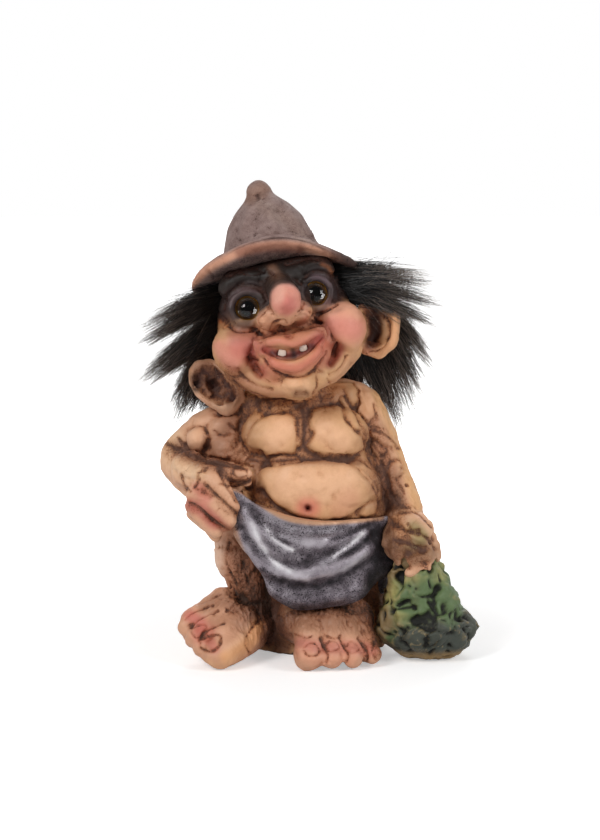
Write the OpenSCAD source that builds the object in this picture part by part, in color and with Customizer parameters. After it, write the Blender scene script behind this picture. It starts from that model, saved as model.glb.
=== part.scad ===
// A cast and painted troll figure with set-in glass eyes, peg teeth and glued fur.
// It faces -Y and stands on Z = 0. Left and right are the figure's own.

/* [Body] */
// Width of the belly
body_w = 58; // [52:1:64]
// Depth of the belly from front to back
body_d = 50; // [44:1:54]
// Height of the body shell up to the neck
body_h = 116; // [110:1:120]
// Thickness of the cast wall
wall = 4.5; // [3:0.5:6]
// Radius of the pour hole's plug in the underside
plug_r = 10; // [8:0.5:12]
// Thickness of the plug
plug_t = 3; // [2:0.5:4]
// How far the chest plates stand proud
chest_rise = 5; // [3:0.5:6]

/* [Head] */
// Radius of the skull
skull_r = 28.5; // [27:0.5:30]
// Radius of a cheek
cheek_r = 11.5; // [10:0.5:13]
// Distance between the cheeks' centres
cheek_span = 41; // [38:1:44]
// Radius of the nose's ball
nose_r = 6.6; // [5:0.2:8]
// How far the nose's ball stands out from the eyes
nose_reach = 15; // [12:1:18]
// Distance between the mouth's corners
mouth_w = 27; // [24:1:30]
// Thickness of the lips' roll
lip_r = 3; // [2.4:0.2:3.6]
// How far the head leans back
head_pitch = 18; // [12:1:22]
// How far the head leans to its right
head_roll = 12; // [6:1:16]
// How far the head turns to its left
head_yaw = 3; // [-4:1:8]
// Width of an ear's bowl
ear_w = 19; // [16:1:22]
// Height of an ear
ear_h = 27; // [23:1:31]
// Thickness of an ear's wall
ear_wall = 2.6; // [2:0.2:3.2]

/* [Eyes and teeth] */
// Radius of the glass eye
eye_r = 5.6; // [4.6:0.2:6.2]
// Distance between the eyes' centres
eye_span = 28; // [26:1:30]
// Radius of the black pupil
pupil_r = 2.3; // [1.6:0.1:3]
// Radius of the eyelids' roll
lid_r = 1.5; // [1.2:0.1:1.9]
// Radius of a peg tooth
tooth_r = 1.6; // [1.3:0.1:1.8]
// Length of a peg tooth
tooth_l = 6; // [5:0.5:7]

/* [Hat] */
// Radius of the hat's brim
brim_r = 35; // [32:0.5:38]
// Thickness of the brim
brim_t = 3; // [2.4:0.2:4]
// How far the brim's front turns up
brim_curl = 12; // [8:1:14]
// Radius of the crown where it meets the brim
crown_r = 20; // [18:0.5:22]
// Height of the crown over the brim
crown_h = 34; // [31:1:37]
// Radius of the knob on top
knob_r = 4.7; // [4:0.1:5.4]

/* [Limbs] */
// Radius of the upper arms
arm_r = 9.5; // [8.5:0.5:10.5]
// Radius of the elbows and forearms
forearm_r = 8.5; // [7.5:0.5:9.5]
// Radius of the fingers
finger_r = 3.4; // [3:0.1:4]
// Radius of the shins
shin_r = 9; // [8:0.5:10]
// Radius of a big toe
big_toe_r = 6.8; // [6:0.2:7.6]
// Radius of the other toes
toe_r = 4.4; // [3.8:0.2:5]

/* [Club and tunic] */
// Radius of the club's thick end
club_r = 20.5; // [18:0.5:22]
// Radius of the club's neck in the hand
club_neck_r = 8; // [7:0.5:9]
// Height of the knobs on the club
knob_rise = 2; // [1:0.2:2.2]
// Thickness of the tunic's cloth
cloth_t = 2.4; // [1.8:0.2:3.2]
// Height of the folds in the tunic
fold_h = 2.2; // [1:0.2:3]

/* [Fur] */
// Radius of a tuft near its root
tuft_r = 9; // [8:0.5:10]
// Length of the side tufts compared with the modelled one
tuft_stretch = 1; // [0.8:0.05:1.1]

/* [Hidden] */
clear = 0.15;        // air between a set-in piece and its socket
ground = 300;        // side of the block that trims the feet level
fine = 18;           // facets round a large form
small = 12;          // facets round a small form
tiny = 8;             // facets round a roll or a fold

function mix(a, b, t) = a + (b - a) * t;
function lerp_list(list, t, k = 0) =
    k >= len(list) - 2 || t <= list[k + 1][0]
        ? mix(list[k], list[k + 1], (t - list[k][0]) / (list[k + 1][0] - list[k][0]))
        : lerp_list(list, t, k + 1);
// A circle's cosine and sine drawn out towards a rounded box
function boxy(c) = sign(c) * pow(abs(c), 0.86);

// A closed skin over stacked rings of equally many points, lowest ring first
module skin(rings) {
    n = len(rings[0]);
    m = len(rings);
    sides = [for (j = [0:m - 2]) for (i = [0:n - 1])
        let (a = j * n + i, b = j * n + (i + 1) % n)
        each [[a, b + n, b], [a, a + n, b + n]]];
    bottom = [for (i = [0:n - 1]) i];
    top = [for (i = [n - 1:-1:0]) (m - 1) * n + i];
    polyhedron([for (r = rings) each r], concat(sides, [bottom, top]), convexity = 6);
}

// A ball at [x, y, z] of radius [3]
module ball(p, facets = small) translate([p[0], p[1], p[2]]) sphere(p[3], $fn = facets);

// A soft egg of three radii, turned by three angles
module lump(at, r, turn = [0, 0, 0], facets = small)
    translate(at) rotate(turn) hull() scale(r) sphere(1, $fn = facets);

// A limb that swells and tapers through balls
module limb(path, facets = small)
    for (i = [0:len(path) - 2]) hull() {
        ball(path[i], facets);
        ball(path[i + 1], facets);
    }

module above_ground() difference() {
    children();
    translate([-ground / 2, -ground / 2, -ground / 4]) cube([ground, ground, ground / 4]);
}

// Body: stations give height share, x, y, and shares of the half width and half depth
body_stations = [
    [0.00, 4, 6, 0.80, 0.66], [0.06, 4, 6, 0.84, 0.70], [0.17, 4, 6, 0.82, 0.70],
    [0.30, 5, 5, 0.92, 0.82], [0.42, 7, 3, 1.02, 0.98], [0.54, 7, 1, 1.02, 1.06],
    [0.65, 6, 1, 0.97, 1.02], [0.73, 4, 3, 0.92, 0.90], [0.82, 1, 5, 0.90, 0.86],
    [0.90, -1, 6, 0.80, 0.76], [0.96, -2, 6, 0.60, 0.60], [1.00, -3, 6, 0.34, 0.34]];
function body_at(share) = lerp_list(body_stations, share);
function body_ring(share, grow = 0, n = 28) =
    let (s = body_at(share))
    [for (i = [0:n - 1]) let (a = 360 * i / n) [
        s[1] + boxy(cos(a)) * (s[3] * body_w / 2 + grow),
        s[2] + boxy(sin(a)) * (s[4] * body_d / 2 + grow),
        share * body_h]];
function chest_z() = body_h * 0.8;
function front_of_body(share) = body_at(share)[2] - body_at(share)[4] * body_d / 2;

// A flat raised plate, as the chest and belly have
module plate(x, z, w, h, lean)
    lump([x, front_of_body(z / body_h) + 8, z], [w, 6.5 + chest_rise * 0.6, h], [lean, 0, 0]);

module body_form() above_ground() {
    skin([for (s = body_stations) body_ring(s[0])]);
    plate(-11, chest_z(), 13.5, 10.5, -16);
    plate(14.5, chest_z(), 14, 11, -16);
    plate(7, body_h * 0.62, 27, 14, 2);
    // Collar bones, shoulders, shoulder blades and buttocks
    limb([[-20, 0, body_h * 0.88, 7], [-2, -4, body_h * 0.9, 7], [18, 0, body_h * 0.9, 8]]);
    for (x = [-12, 14]) lump([x, body_at(0.8)[2] + body_d * 0.36, body_h * 0.8], [10, 6, 12]);
    for (x = [-8, 20]) lump([x, body_at(0.4)[2] + body_d * 0.36, body_h * 0.4], [12, 5.5, 12]);
    // Flank that the right hand rests on
    lump([body_at(0.62)[1] - body_w * 0.42, -7, body_h * 0.62], [8, 9, 10], [0, -10, 0]);
    // Calves and heels
    for (x = [-8, 17]) limb([[x, 12, body_h * 0.26, 12], [x * 1.05, 14, 15, 9.5],
        [x * 1.15, 16, 5, 9.5]], 10);
}

// The hollow that the poured rubber leaves, from the pour hole up into the head
core_path = [
    [5, 6, 24, body_d * 0.38 - wall], [6, 3, 58, body_d * 0.48 - wall],
    [3, 5, 84, body_d * 0.42 - wall], [-3, 5, 104, body_d * 0.30 - wall]];
function head_at() = [-5.3, 1, body_h + 17.5];
module core() {
    limb(concat(core_path, [[head_at()[0],
        head_at()[1] + 4, head_at()[2] + 4, skull_r - 2 * wall]]), small);
    in_head() limb([[0, 3, 10, 14], [0.3, 2, 22 + crown_h * 0.4, crown_r * 0.5]], small);
    translate([0, 0, -1]) cylinder(r = plug_r + clear, h = 20, $fn = 24);
}

module body_shell() color("burlywood") difference() {
    body_form();
    core();
    head_form();
    plate_for_navel();
}
module plate_for_navel()
    lump([3.4, front_of_body(0.56) - 0.5, body_h * 0.56], [2, 3, 2]);

module base_plug() color("dimgray") cylinder(r = plug_r, h = plug_t, $fn = 48);

// Head: everything in the head's own frame, which leans and turns
module in_head() translate(head_at()) rotate([-head_pitch, -head_roll, head_yaw]) children();
eye_at = [eye_span / 2, -18.5, 9];
function mirrored(p, side) = [side * p[0], p[1], p[2]];

module head_form() in_head() {
    lump([0, 3, 6], [skull_r, skull_r - 1, skull_r], facets = fine);
    lump([0, -4, -13], [skull_r - 6, 20, 14], facets = fine);
    lump([0, -17, -13], [mouth_w * 0.62, 12, 12], facets = fine);
    lump([0, -18, -25], [8.5, 9, 7]);
    limb([[-17, -13, 20, 7], [0, -18, 19, 6.5], [17, -13, 20, 7]]);
    for (side = [-1, 1]) {
        lump([side * cheek_span / 2, -13, -5.5], [cheek_r, cheek_r, cheek_r], facets = fine);
        // Jaw roll from the cheek down to the chin
        limb([[side * 22, -8, -13, 7], [side * 14, -14, -21, 6], [side * 6, -18, -24.5, 5]]);
        eyelids(side);
    }
    upper_lip();
    lower_lip();
}
module eyelids(side) {
    translate(mirrored(eye_at, side) + [0, -3, 0]) rotate([90, 0, 0])
        rotate_extrude($fn = 16) translate([eye_r + lid_r * 0.35, 0]) circle(lid_r, $fn = tiny);
}
function lip_path(drop, fall, r) = [for (k = [-2:2])
    [k * mouth_w / 4, -29.5 + 0.95 * k * k, drop + fall * k * k / 4, r * (1 - 0.09 * k * k)]];
module upper_lip() limb(lip_path(-9, 2.2, lip_r));
module lower_lip() limb(lip_path(-18, 9.4, lip_r + 0.2));

function tooth_at(side) = [side * 4.4, -29, -13];
module tooth_shape(side, grow)
    translate(tooth_at(side)) rotate([-90, 0, 0]) {
        cylinder(r = tooth_r + grow, h = tooth_l - tooth_r + grow, $fn = 16);
        sphere(r = tooth_r + grow, $fn = 16);
    }
module eye_socket(side)
    translate(mirrored(eye_at, side)) sphere(eye_r + clear, $fn = fine);

module head() color("rosybrown") difference() {
    head_form();
    core();
    in_head() {
        // Mouth: a slit between the lips, and the two sockets for the teeth
        limb([[-mouth_w * 0.4, -29, -9.5, 1.2], [0, -32, -13.5, 1.8],
            [mouth_w * 0.4, -29, -9.5, 1.2]], tiny);
        for (side = [-1, 1]) {
            tooth_shape(side, clear);
            eye_socket(side);
            // Dimple at the side of the mouth
            lump([side * 15.5, -24, -16], [3, 3, 5], [0, side * 30, 0], tiny);
        }
    }
}

// Nose: bridge, ball and two wings over the nostrils
module nose_form() in_head() {
    tip = [1.5, eye_at[1] - 5 - nose_reach, 7];
    limb([[0, -20, 16, 5.5], [0.5, -27, 12, 5.8], concat(tip, [nose_r])]);
    limb([concat(tip, [nose_r]), [0.5, -32, 1, 4.5]]);
    for (side = [-1, 1]) limb([[0, -32, 4, 4.5], [side * 7.2, -29.5, 2, 4.4], [side * 6, -25, 1, 4]]);
}
module nose() color("lightpink") difference() {
    nose_form();
    head_form();
    in_head() for (side = [-1, 1]) lump([side * 4.4, -32.5, -2.6], [2.2, 2.6, 2], facets = tiny);
}

// Ears: a cupped bowl with a rolled rim
module ear_form(at, turn, tall = 1) in_head() translate(at) rotate(turn) difference() {
    union() {
        lump([0, 1, 0], [ear_w / 2, 6, ear_h * tall / 2]);
        lump([-ear_w * 0.2, 0, -ear_h * 0.3 * tall], [5, 4.5, 5]);
    }
    lump([-0.6, -3.6, 1], [ear_w / 2 - ear_wall, 6, ear_h * tall / 2 - ear_wall]);
}
module right_ear_form() ear_form([-skull_r - 4.5, 1, -15.5], [0, -38, 0]) ;
module left_ear_form() ear_form([skull_r + 8.4, -1, -5], [0, 12, 0], 1.1);
module right_ear() color("tan") difference() {
    right_ear_form();
    head_form();
    body_form();
    right_arm_form();
}
module left_ear() color("tan") difference() {
    left_ear_form();
    head_form();
}

// Hat: a flared bell with a wavy brim and a knob, spun round the head's axis
hat_profile = [
    [0.30, 25.5], [0.66, 24.0], [0.80, 22.4], [0.93, 20.9], [1.00, 20.6]];
function crown_profile() = let (z0 = 20.6 + brim_t) [
    [brim_r, z0 - brim_t * 0.4], [brim_r - 1.2, z0 + 0.3], [mix(brim_r, crown_r, 0.4), z0 + 2.6],
    [mix(brim_r, crown_r, 0.75), z0 + 5.6], [crown_r, z0 + 9.4], [crown_r * 0.92, z0 + crown_h * 0.44],
    [crown_r * 0.79, z0 + crown_h * 0.66], [crown_r * 0.56, z0 + crown_h * 0.84],
        [crown_r * 0.35, z0 + crown_h * 0.94],
    [knob_r * 0.94, z0 + crown_h], [knob_r, z0 + crown_h + 2.4], [knob_r * 0.8, z0 + crown_h + 5],
        [knob_r * 0.35, z0 + crown_h + 6.6]];
function brim_wave(a, r) = pow(r / brim_r, 3)
    * (-4 * cos(a) + (sin(a) < 0 ? brim_curl : brim_curl * 0.4) * pow(sin(a),
        2) + 0.7 * cos(5 * a + 40));
module hat_form() in_head() {
    under = [for (p = hat_profile) [p[0] * brim_r, p[1]]];
    skin([for (p = concat(under, crown_profile())) [for (i = [0:27]) let (a = 360 * i / 28)
        [p[0] * cos(a) + 0.028 * max(0, p[1] - 24), p[0] * sin(a) * 0.94 + 1, p[1] + brim_wave(a,
            p[0])]]]);
}
module hat() color("slategray") difference() {
    hat_form();
    head_form();
    core();
}

// Glass eyes: a clear ball, a painted ring in it and a black pupil
iris_back = 1.6;
iris_t = 0.8;
module eye_frame(side) in_head() translate(mirrored(eye_at, side)) rotate([90, 0, 0]) children();
module eye_glass(side) color("azure", 0.5) eye_frame(side) difference() {
    sphere(eye_r, $fn = 32);
    translate([0, 0, iris_back - iris_t]) cylinder(r = iris_r(), h = iris_t + clear / 2, $fn = 32);
    translate([0, 0, -eye_r]) cylinder(r = iris_r(), h = eye_r + iris_back - iris_t + clear, $fn = 32);
}
function iris_r() = eye_r * 0.84;
module eye_iris(side) color("darkgoldenrod") eye_frame(side)
    translate([0, 0, iris_back - iris_t]) difference() {
        cylinder(r = iris_r() - clear / 2, h = iris_t, $fn = 32);
        translate([0, 0, -1]) cylinder(r = pupil_r, h = iris_t + 2, $fn = 32);
    }
module eye_pupil(side) color("black") eye_frame(side)
    translate([0, 0, iris_back - iris_t]) cylinder(r = pupil_r - clear / 3, h = iris_t, $fn = 32);
module right_eye_glass() eye_glass(-1);
module right_eye_iris() eye_iris(-1);
module right_eye_pupil() eye_pupil(-1);
module left_eye_glass() eye_glass(1);
module left_eye_iris() eye_iris(1);
module left_eye_pupil() eye_pupil(1);
module right_tooth() color("ivory") in_head() tooth_shape(-1, 0);
module left_tooth() color("ivory") in_head() tooth_shape(1, 0);

// Arms: shoulder, elbow and wrist hang from the body's width and height
right_shoulder = [body_at(0.84)[1] - body_w * 0.44, 3, body_h * 0.83];
right_elbow = right_shoulder + [-26, -1, -16.5];
right_wrist = right_elbow + [12, -15, -9.5];
left_shoulder = [body_at(0.86)[1] + body_w * 0.42, 4, body_h * 0.87];
left_elbow = left_shoulder + [11, -3, -25];
left_wrist = left_elbow + [9.5, -10, -21];

module right_arm_form() {
    // Flesh in the crook of the arm
    lump(mix(right_shoulder, right_wrist, 0.5) + [3, 2, 0], [11, 9, 11]);
    limb([
    concat(right_shoulder + [6, 1, 4], [arm_r * 0.9]),
    concat(right_shoulder, [arm_r * 1.05]),
    concat(mix(right_shoulder, right_elbow, 0.45) + [0, -1, 2], [arm_r * 1.08]),
    concat(right_elbow + [2, 2, 2], [forearm_r]),
    concat(right_elbow + [1.5, 0, -1.5], [forearm_r * 0.98]),
    concat(mix(right_elbow, right_wrist, 0.5), [forearm_r * 0.98]),
    concat(right_wrist, [forearm_r * 0.86])], small);
}
module left_arm_form() limb([
    concat(left_shoulder + [-7, 1, 4], [arm_r * 0.9]),
    concat(left_shoulder, [arm_r * 1.06]),
    concat(mix(left_shoulder, left_elbow, 0.5) + [0.5, 0, 1], [arm_r]),
    concat(left_elbow, [forearm_r * 1.05]),
    concat(mix(left_elbow, left_wrist, 0.5) + [0.5, 0, 0], [forearm_r]),
    concat(left_wrist, [forearm_r * 0.86])], small);
module right_arm() color("burlywood") difference() {
    right_arm_form();
    body_form();
    head_form();
}
module left_arm() color("burlywood") difference() {
    left_arm_form();
    body_form();
    head_form();
    left_ear_form();
}

// Hands: a palm and fingers, each finger a path from the wrist with its share of finger_r
module finger(wrist, path, facets = tiny)
    limb([for (p = path) [wrist[0] + p[0], wrist[1] + p[1], wrist[2] + p[2], finger_r * p[3]]], facets);
module right_hand_form() {
    lump(right_wrist + [2.5, -4.5, -2], [7.5, 6.5, 7.5], [0, 30, 0]);
    finger(right_wrist, [[-1, -6, 1.5, 1.15], [6, -11.5, -1.5, 1.12], [12.5, -14, -6, 0.95]]);
    finger(right_wrist, [[-4, -5, -5, 1], [4, -10, -7.5, 0.98], [10, -12.5, -12.5, 0.86]]);
    finger(right_wrist, [[-4.5, -3, -9.5, 0.95], [1, -6.5, -13.5, 0.92], [5, -8, -18, 0.78]]);
    finger(right_wrist, [[5, -4, 5, 1], [11, -9, 6.5, 0.9], [17.5, -11, 5.5, 0.8]]);
}
module left_hand_form() {
    lump(left_wrist + [1.5, -1.5, -6], [8.5, 7, 8], [0, 0, 0]);
    // Fingers close round the club's neck
    finger(left_wrist, [[4, -5, -2, 1.05], [8, -9, -6, 1.05], [6, -14, -10, 0.95], [0, -15, -12, 0.8]]);
    finger(left_wrist, [[7, -3, -5, 1], [9.5, -8, -11, 1], [6.5, -13, -15, 0.9], [0, -14, -17, 0.8]]);
    finger(left_wrist, [[-5, -4, -3, 1], [-7.5, -8, -8, 0.95], [-5, -12, -13, 0.85]]);
    finger(left_wrist, [[-6, -2, 0, 0.9], [-9.5, -6, -3, 0.85], [-9, -10, -6, 0.75]]);
}
module right_hand() color("lightsalmon") difference() {
    right_hand_form();
    right_arm_form();
    body_form();
}
module left_hand() color("burlywood") difference() {
    left_hand_form();
    left_arm_form();
    club_form();
    body_form();
}

// Club: a rough knobbly root, thick end on the ground
club_foot = [left_wrist[0] + 6.5, left_wrist[1] - 3, 13];
club_tip = left_wrist + [1, -7, -4];
function club_lean(t) = mix(club_foot, club_tip, t);
function club_radius(t) = t < 0 ? club_r * sqrt(max(0.02, 1 - pow(t / 0.38, 2)))
    : mix(club_r, club_neck_r, pow(min(1, t / 0.85), 0.9)) * (t > 0.9 ? sqrt(max(0.05,
        1 - pow((t - 0.9) / 0.13, 2))) : 1);
// Curled knobs with deep pits between them, about 7 mm across
function bark(a, t) = let (u = 9 * a + 70 * sin(3 * a + 500 * t),
    v = 1750 * t + 80 * sin(4 * a + 300 * t))
    0.9 * cos(u + 90 * sin(v / 2)) * cos(v) + 0.5 * cos(4 * a - 700 * t) + 0.1;
module club_form() above_ground() {
    shares = concat([-0.36, -0.31], [for (k = [0:19]) -0.24 + 0.0605 * k], [0.96, 1.02]);
    skin([for (t = shares) let (c = club_lean(t), r = club_radius(t)) [for (i = [0:39])
        let (a = 9 * i, q = r + knob_rise * min(1, r / 12) * bark(a, t))
        [c[0] + q * cos(a), c[1] + q * 0.88 * sin(a), c[2]]]]);
}
module club() color("darkolivegreen") difference() {
    club_form();
    left_arm_form();
    left_foot_form();
    body_form();
}

// Legs and feet
right_knee = [body_at(0.35)[1] - body_w * 0.53, -7, body_h * 0.35];
right_ankle = right_knee + [5.5, 1, -21];
left_ankle = [13.5, -5, 17];
module right_leg_form() above_ground() limb([
    [right_knee[0] + 11, -2, right_knee[2] + 4, shin_r + 3],
    concat(right_knee, [shin_r * 1.12]),
    concat(mix(right_knee, right_ankle, 0.5) + [1, 0, 0], [shin_r * 0.98]),
    concat(right_ankle, [shin_r * 0.88]),
    concat(right_ankle + [2, 3, -9], [shin_r * 0.95])], small);
module left_leg_form() above_ground() limb([
    [left_ankle[0] + 2, -10, body_h * 0.34, shin_r + 4],
    concat(left_ankle + [0, -3, 6], [shin_r + 2.5]),
    concat(left_ankle + [0, -3, 0], [shin_r + 1.5]),
    concat(left_ankle + [0, 2, -7], [shin_r + 2])], small);
module toes(list)
    for (t = list) limb([[t[0], t[1], t[2], t[3]], [t[0] + t[4], t[1] + t[5],
        t[2] + 2.5, t[3] * 0.95]], 10);
module right_foot_form() above_ground() {
    a = right_ankle;
    limb([concat(a + [1, -2, -8], [8]), concat(a + [-4, -12, -10],
        [8.2]), concat(a + [-10, -23, -13], [big_toe_r])], small);
    limb([concat(a + [-3, -5, -6], [7]), concat(a + [-14, -12, -9],
        [6.5]), concat(a + [-21, -18, -10.5], [toe_r])]);
    limb([concat(a + [-8, -14, -9], [7]), concat(a + [-17, -22, -11], [toe_r * 1.1])]);
    toes([[a[0] - 13, a[1] - 28, big_toe_r, big_toe_r, 6, 7],
        [a[0] - 20.5, a[1] - 24, 8.6, toe_r, 5, 6],
          [a[0] - 24, a[1] - 19.5, 10.2, toe_r * 0.85, 5, 5],
              [a[0] - 25.5, a[1] - 15, 11, toe_r * 0.75, 5, 4]]);
}
module left_foot_form() above_ground() {
    a = left_ankle;
    limb([concat(a + [-1, 2, -6], [10]), concat(a + [-4, -14, -8],
        [8.6]), concat(a + [-9, -24, -9.5], [big_toe_r])], small);
    limb([concat(a + [2, 0, -6], [10]), concat(a + [6, -14, -9], [8]), concat(a + [12, -21, -11],
        [toe_r * 1.1])]);
    toes([[a[0] - 10, a[1] - 30.5, big_toe_r - 0.4, big_toe_r, 2, 9],
        [a[0] - 0.8, a[1] - 31.5, toe_r + 0.8, toe_r * 1.05, 0, 8],
          [a[0] + 8, a[1] - 30, toe_r + 0.6, toe_r * 1.02, -2, 8],
              [a[0] + 15.8, a[1] - 25, toe_r + 0.8, toe_r * 0.98, -4, 7]]);
}
module right_leg() color("rosybrown") difference() {
    right_leg_form();
    body_form();
}
module left_leg() color("rosybrown") difference() {
    left_leg_form();
    body_form();
}
module right_foot() color("tan") difference() {
    right_foot_form();
    right_leg_form();
    body_form();
}
module left_foot() color("tan") difference() {
    left_foot_form();
    left_leg_form();
    body_form();
}

// Tunic: a sheet gathered in the right hand, hung across the front to the left hip
grip = right_wrist + [9, -15, -6];
hip = [body_at(0.5)[1] + body_w / 2 + 1, -14, body_h * 0.51];
// Each row: share of the way across, share of the half width and depth, share of the body's height
tunic_top = concat([[0, grip[0], grip[1], grip[2] + body_h * 0.052]], on_body([
    [0.15, -0.69, -1.26, 0.578], [0.3, -0.38, -1.24, 0.547], [0.42, -0.1, -1.24, 0.526],
    [0.6, 0.276, -1.2, 0.509], [0.8, 0.793, -1, 0.509]]), [[1, hip[0], hip[1], hip[2]]]);
tunic_hem = concat([[0, grip[0], grip[1] + 1, grip[2] - body_h * 0.06]], on_body([
    [0.15, -0.655, -1.24, 0.371], [0.3, -0.345, -1.18, 0.241], [0.42, -0.07, -1.12, 0.185],
    [0.6, 0.379, -1.12, 0.203], [0.8, 0.897, -0.96, 0.233]]),
    [[1, hip[0] + 1, hip[1] + 2, body_h * 0.328]]);
function on_body(rows) = [for (r = rows)
    [r[0], r[1] * body_w / 2, r[2] * body_d / 2, r[3] * body_h]];
function point_of(row) = [row[1], row[2], row[3]];
function tunic_front_at(u, v) =
    mix(point_of(lerp_list(tunic_top, u)), point_of(lerp_list(tunic_hem, u)), v)
    + [0, -3.2 * sin(180 * v) * sin(180 * u) + fold_h * 0.5 * cos(1080 * v) * pow(sin(180 * min(1,
        u * 1.1)), 0.6), 0];
module tunic_front_form() above_ground() {
    columns = 15;
    rows = 13;
    skin([for (k = [rows:-1:0]) let (v = k / rows) concat(
        [for (i = [0:columns]) tunic_front_at(i / columns, v)],
        [for (i = [columns:-1:0]) let (p = tunic_front_at(i / columns, v)) [p[0] * 0.96 + 0.3,
            max(p[1] + cloth_t, -8 - 22 * pow(1 - i / columns, 3)), p[2]]])]);
    // Rolled hem along the top edge
    limb([for (i = [0:8]) concat(tunic_front_at(i / 8, 0) + [0, 0.8, 0], [cloth_t / 2])], tiny);
}
module tunic_back_form() above_ground() {
    top = 0.5;
    bottom = 0.2;
    skin([for (k = [0:6]) let (share = mix(bottom, top, k / 6), s = body_at(share)) concat(
        [for (i = [0:22]) let (a = mix(-14, 200, i / 22),
            g = cloth_t + fold_h * 0.35 * (1 + cos(9 * a)) * (1.2 - k / 6) + 3.5 * (1 - k / 6))
            [s[1] + boxy(cos(a)) * (s[3] * body_w / 2 + g),
                s[2] + boxy(sin(a)) * (s[4] * body_d / 2 + g + 3.4 * pow(max(0, sin(a)), 2)),
                share * body_h]],
        [for (i = [22:-1:0]) let (a = mix(-14, 200, i / 22))
            [s[1] + boxy(cos(a)) * (s[3] * body_w / 2 - 2),
                s[2] + boxy(sin(a)) * (s[4] * body_d / 2 - 2), share * body_h]])]);
}
module tunic_front() color("lightslategray") difference() {
    tunic_front_form();
    body_form();
    right_hand_form();
    right_leg_form();
    left_leg_form();
    left_foot_form();
    left_hand_form();
    club_form();
}
module tunic_back() color("lightslategray") difference() {
    tunic_back_form();
    body_form();
    tunic_front_form();
    right_leg_form();
    left_leg_form();
    left_hand_form();
    left_arm_form();
    club_form();
}

// Fur: tufts rooted under the brim and behind the ears, cut clear of the casting
module fur_cutters() {
    head_form();
    hat_form();
    body_form();
    right_ear_form();
    left_ear_form();
    right_arm_form();
    left_arm_form();
}
function tuft(root, path) = [for (p = path)
    [root[0] + p[0] * tuft_stretch, root[1] + p[1], root[2] + p[2] * tuft_stretch, tuft_r * p[3]]];
right_root = head_at() + [-skull_r + 3, 2, 10];
left_root = head_at() + [skull_r - 3, 2, 13];
function right_upper() = tuft(right_root, [[0, 0, 3, 0.9], [-12, -3, -3, 0.95],
    [-24, -4, -11, 0.65], [-36, -5, -19, 0.3]]);
function right_middle() = tuft(right_root, [[-2, 4, -9, 1], [-12, 4, -17, 0.9], [-24, 2, -28, 0.65],
    [-35, 0, -37, 0.3]]);
function right_hanging() = tuft(right_root, [[-4, 9, -16, 1], [-11, 9, -32, 0.9],
    [-15, 9, -46, 0.6], [-19, 8, -58, 0.3]]);
function left_upper() = tuft(left_root, [[0, -2, 3, 0.7], [12, -3, 3, 0.85], [26, -5, 0, 0.75],
    [40, -6, -4, 0.35]]);
function left_middle() = tuft(left_root, [[2, 8, -14, 1], [15, 8, -28, 0.9], [24, 6, -41, 0.6],
    [33, 4, -54, 0.3]]);
function left_hanging() = tuft(left_root, [[-2, 12, -24, 1], [8, 12, -42, 0.9], [17, 12, -60, 0.6],
    [23, 11, -73, 0.3]]);
function back_lock(k) = [for (p = [[0, 26, 8, 0.9], [1, 31, -8, 1.15], [1.15, 32, -26, 1.1],
    [1.2, 31, -42, 0.7]])
    [head_at()[0] + k * 13 * p[0], head_at()[1] + p[1], head_at()[2] + p[2], tuft_r * p[3]]];
module strands(paths) for (p = paths) limb(p, tiny);
module fur(paths, beside = []) color("#3a302c") difference() {
    strands(paths);
    strands(beside);
    fur_cutters();
}
module fur_right_upper() fur([right_upper()]);
module fur_right_middle() fur([right_middle()], [right_upper()]);
module fur_right_hanging() fur([right_hanging()], [right_upper(), right_middle()]);
module fur_left_upper() fur([left_upper()]);
module fur_left_middle() fur([left_middle()], [left_upper()]);
module fur_left_hanging() fur([left_hanging()], [left_upper(), left_middle()]);
module fur_back() fur([for (k = [-1:1]) back_lock(k)],
    [right_middle(), right_hanging(), left_middle(), left_hanging()]);

body_shell();
base_plug();
head();
nose();
right_ear();
left_ear();
hat();
right_eye_glass();
right_eye_iris();
right_eye_pupil();
left_eye_glass();
left_eye_iris();
left_eye_pupil();
right_tooth();
left_tooth();
right_arm();
right_hand();
left_arm();
left_hand();
right_leg();
right_foot();
left_leg();
left_foot();
tunic_front();
tunic_back();
club();
fur_right_upper();
fur_right_middle();
fur_right_hanging();
fur_left_upper();
fur_left_middle();
fur_left_hanging();
fur_back();
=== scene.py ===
# %% [markdown]
# # A cast and painted troll
# The real figure is poured in rubber, painted with a light tan, washed with thin dark brown
# that stays in every hollow, and finished with glass eyes, two peg teeth and glued fur.
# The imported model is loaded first. It is never changed: it gives the places and sizes.

# %% The frame
import math
import bpy
import numpy as np
from mathutils import Matrix, Vector
from mathutils.kdtree import KDTree


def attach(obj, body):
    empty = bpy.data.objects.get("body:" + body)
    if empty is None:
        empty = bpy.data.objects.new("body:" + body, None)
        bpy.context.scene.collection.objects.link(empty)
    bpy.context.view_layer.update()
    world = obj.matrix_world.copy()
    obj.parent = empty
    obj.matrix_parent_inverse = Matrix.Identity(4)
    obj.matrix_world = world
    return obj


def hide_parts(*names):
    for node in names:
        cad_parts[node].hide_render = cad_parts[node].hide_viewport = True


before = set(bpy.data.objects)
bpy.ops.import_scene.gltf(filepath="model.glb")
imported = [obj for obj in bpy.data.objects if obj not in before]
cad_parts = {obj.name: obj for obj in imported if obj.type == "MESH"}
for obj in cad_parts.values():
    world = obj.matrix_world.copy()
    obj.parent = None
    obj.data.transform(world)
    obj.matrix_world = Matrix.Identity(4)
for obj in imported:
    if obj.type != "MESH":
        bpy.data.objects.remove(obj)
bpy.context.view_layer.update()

# %% [markdown]
# The camera comes first, because it is also the carver's ruler. It stands as far off as the
# photographer did, so a point of the photograph can be found again on the model. One pixel
# of the photograph is 0.41 mm on the troll's chest.

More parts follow.
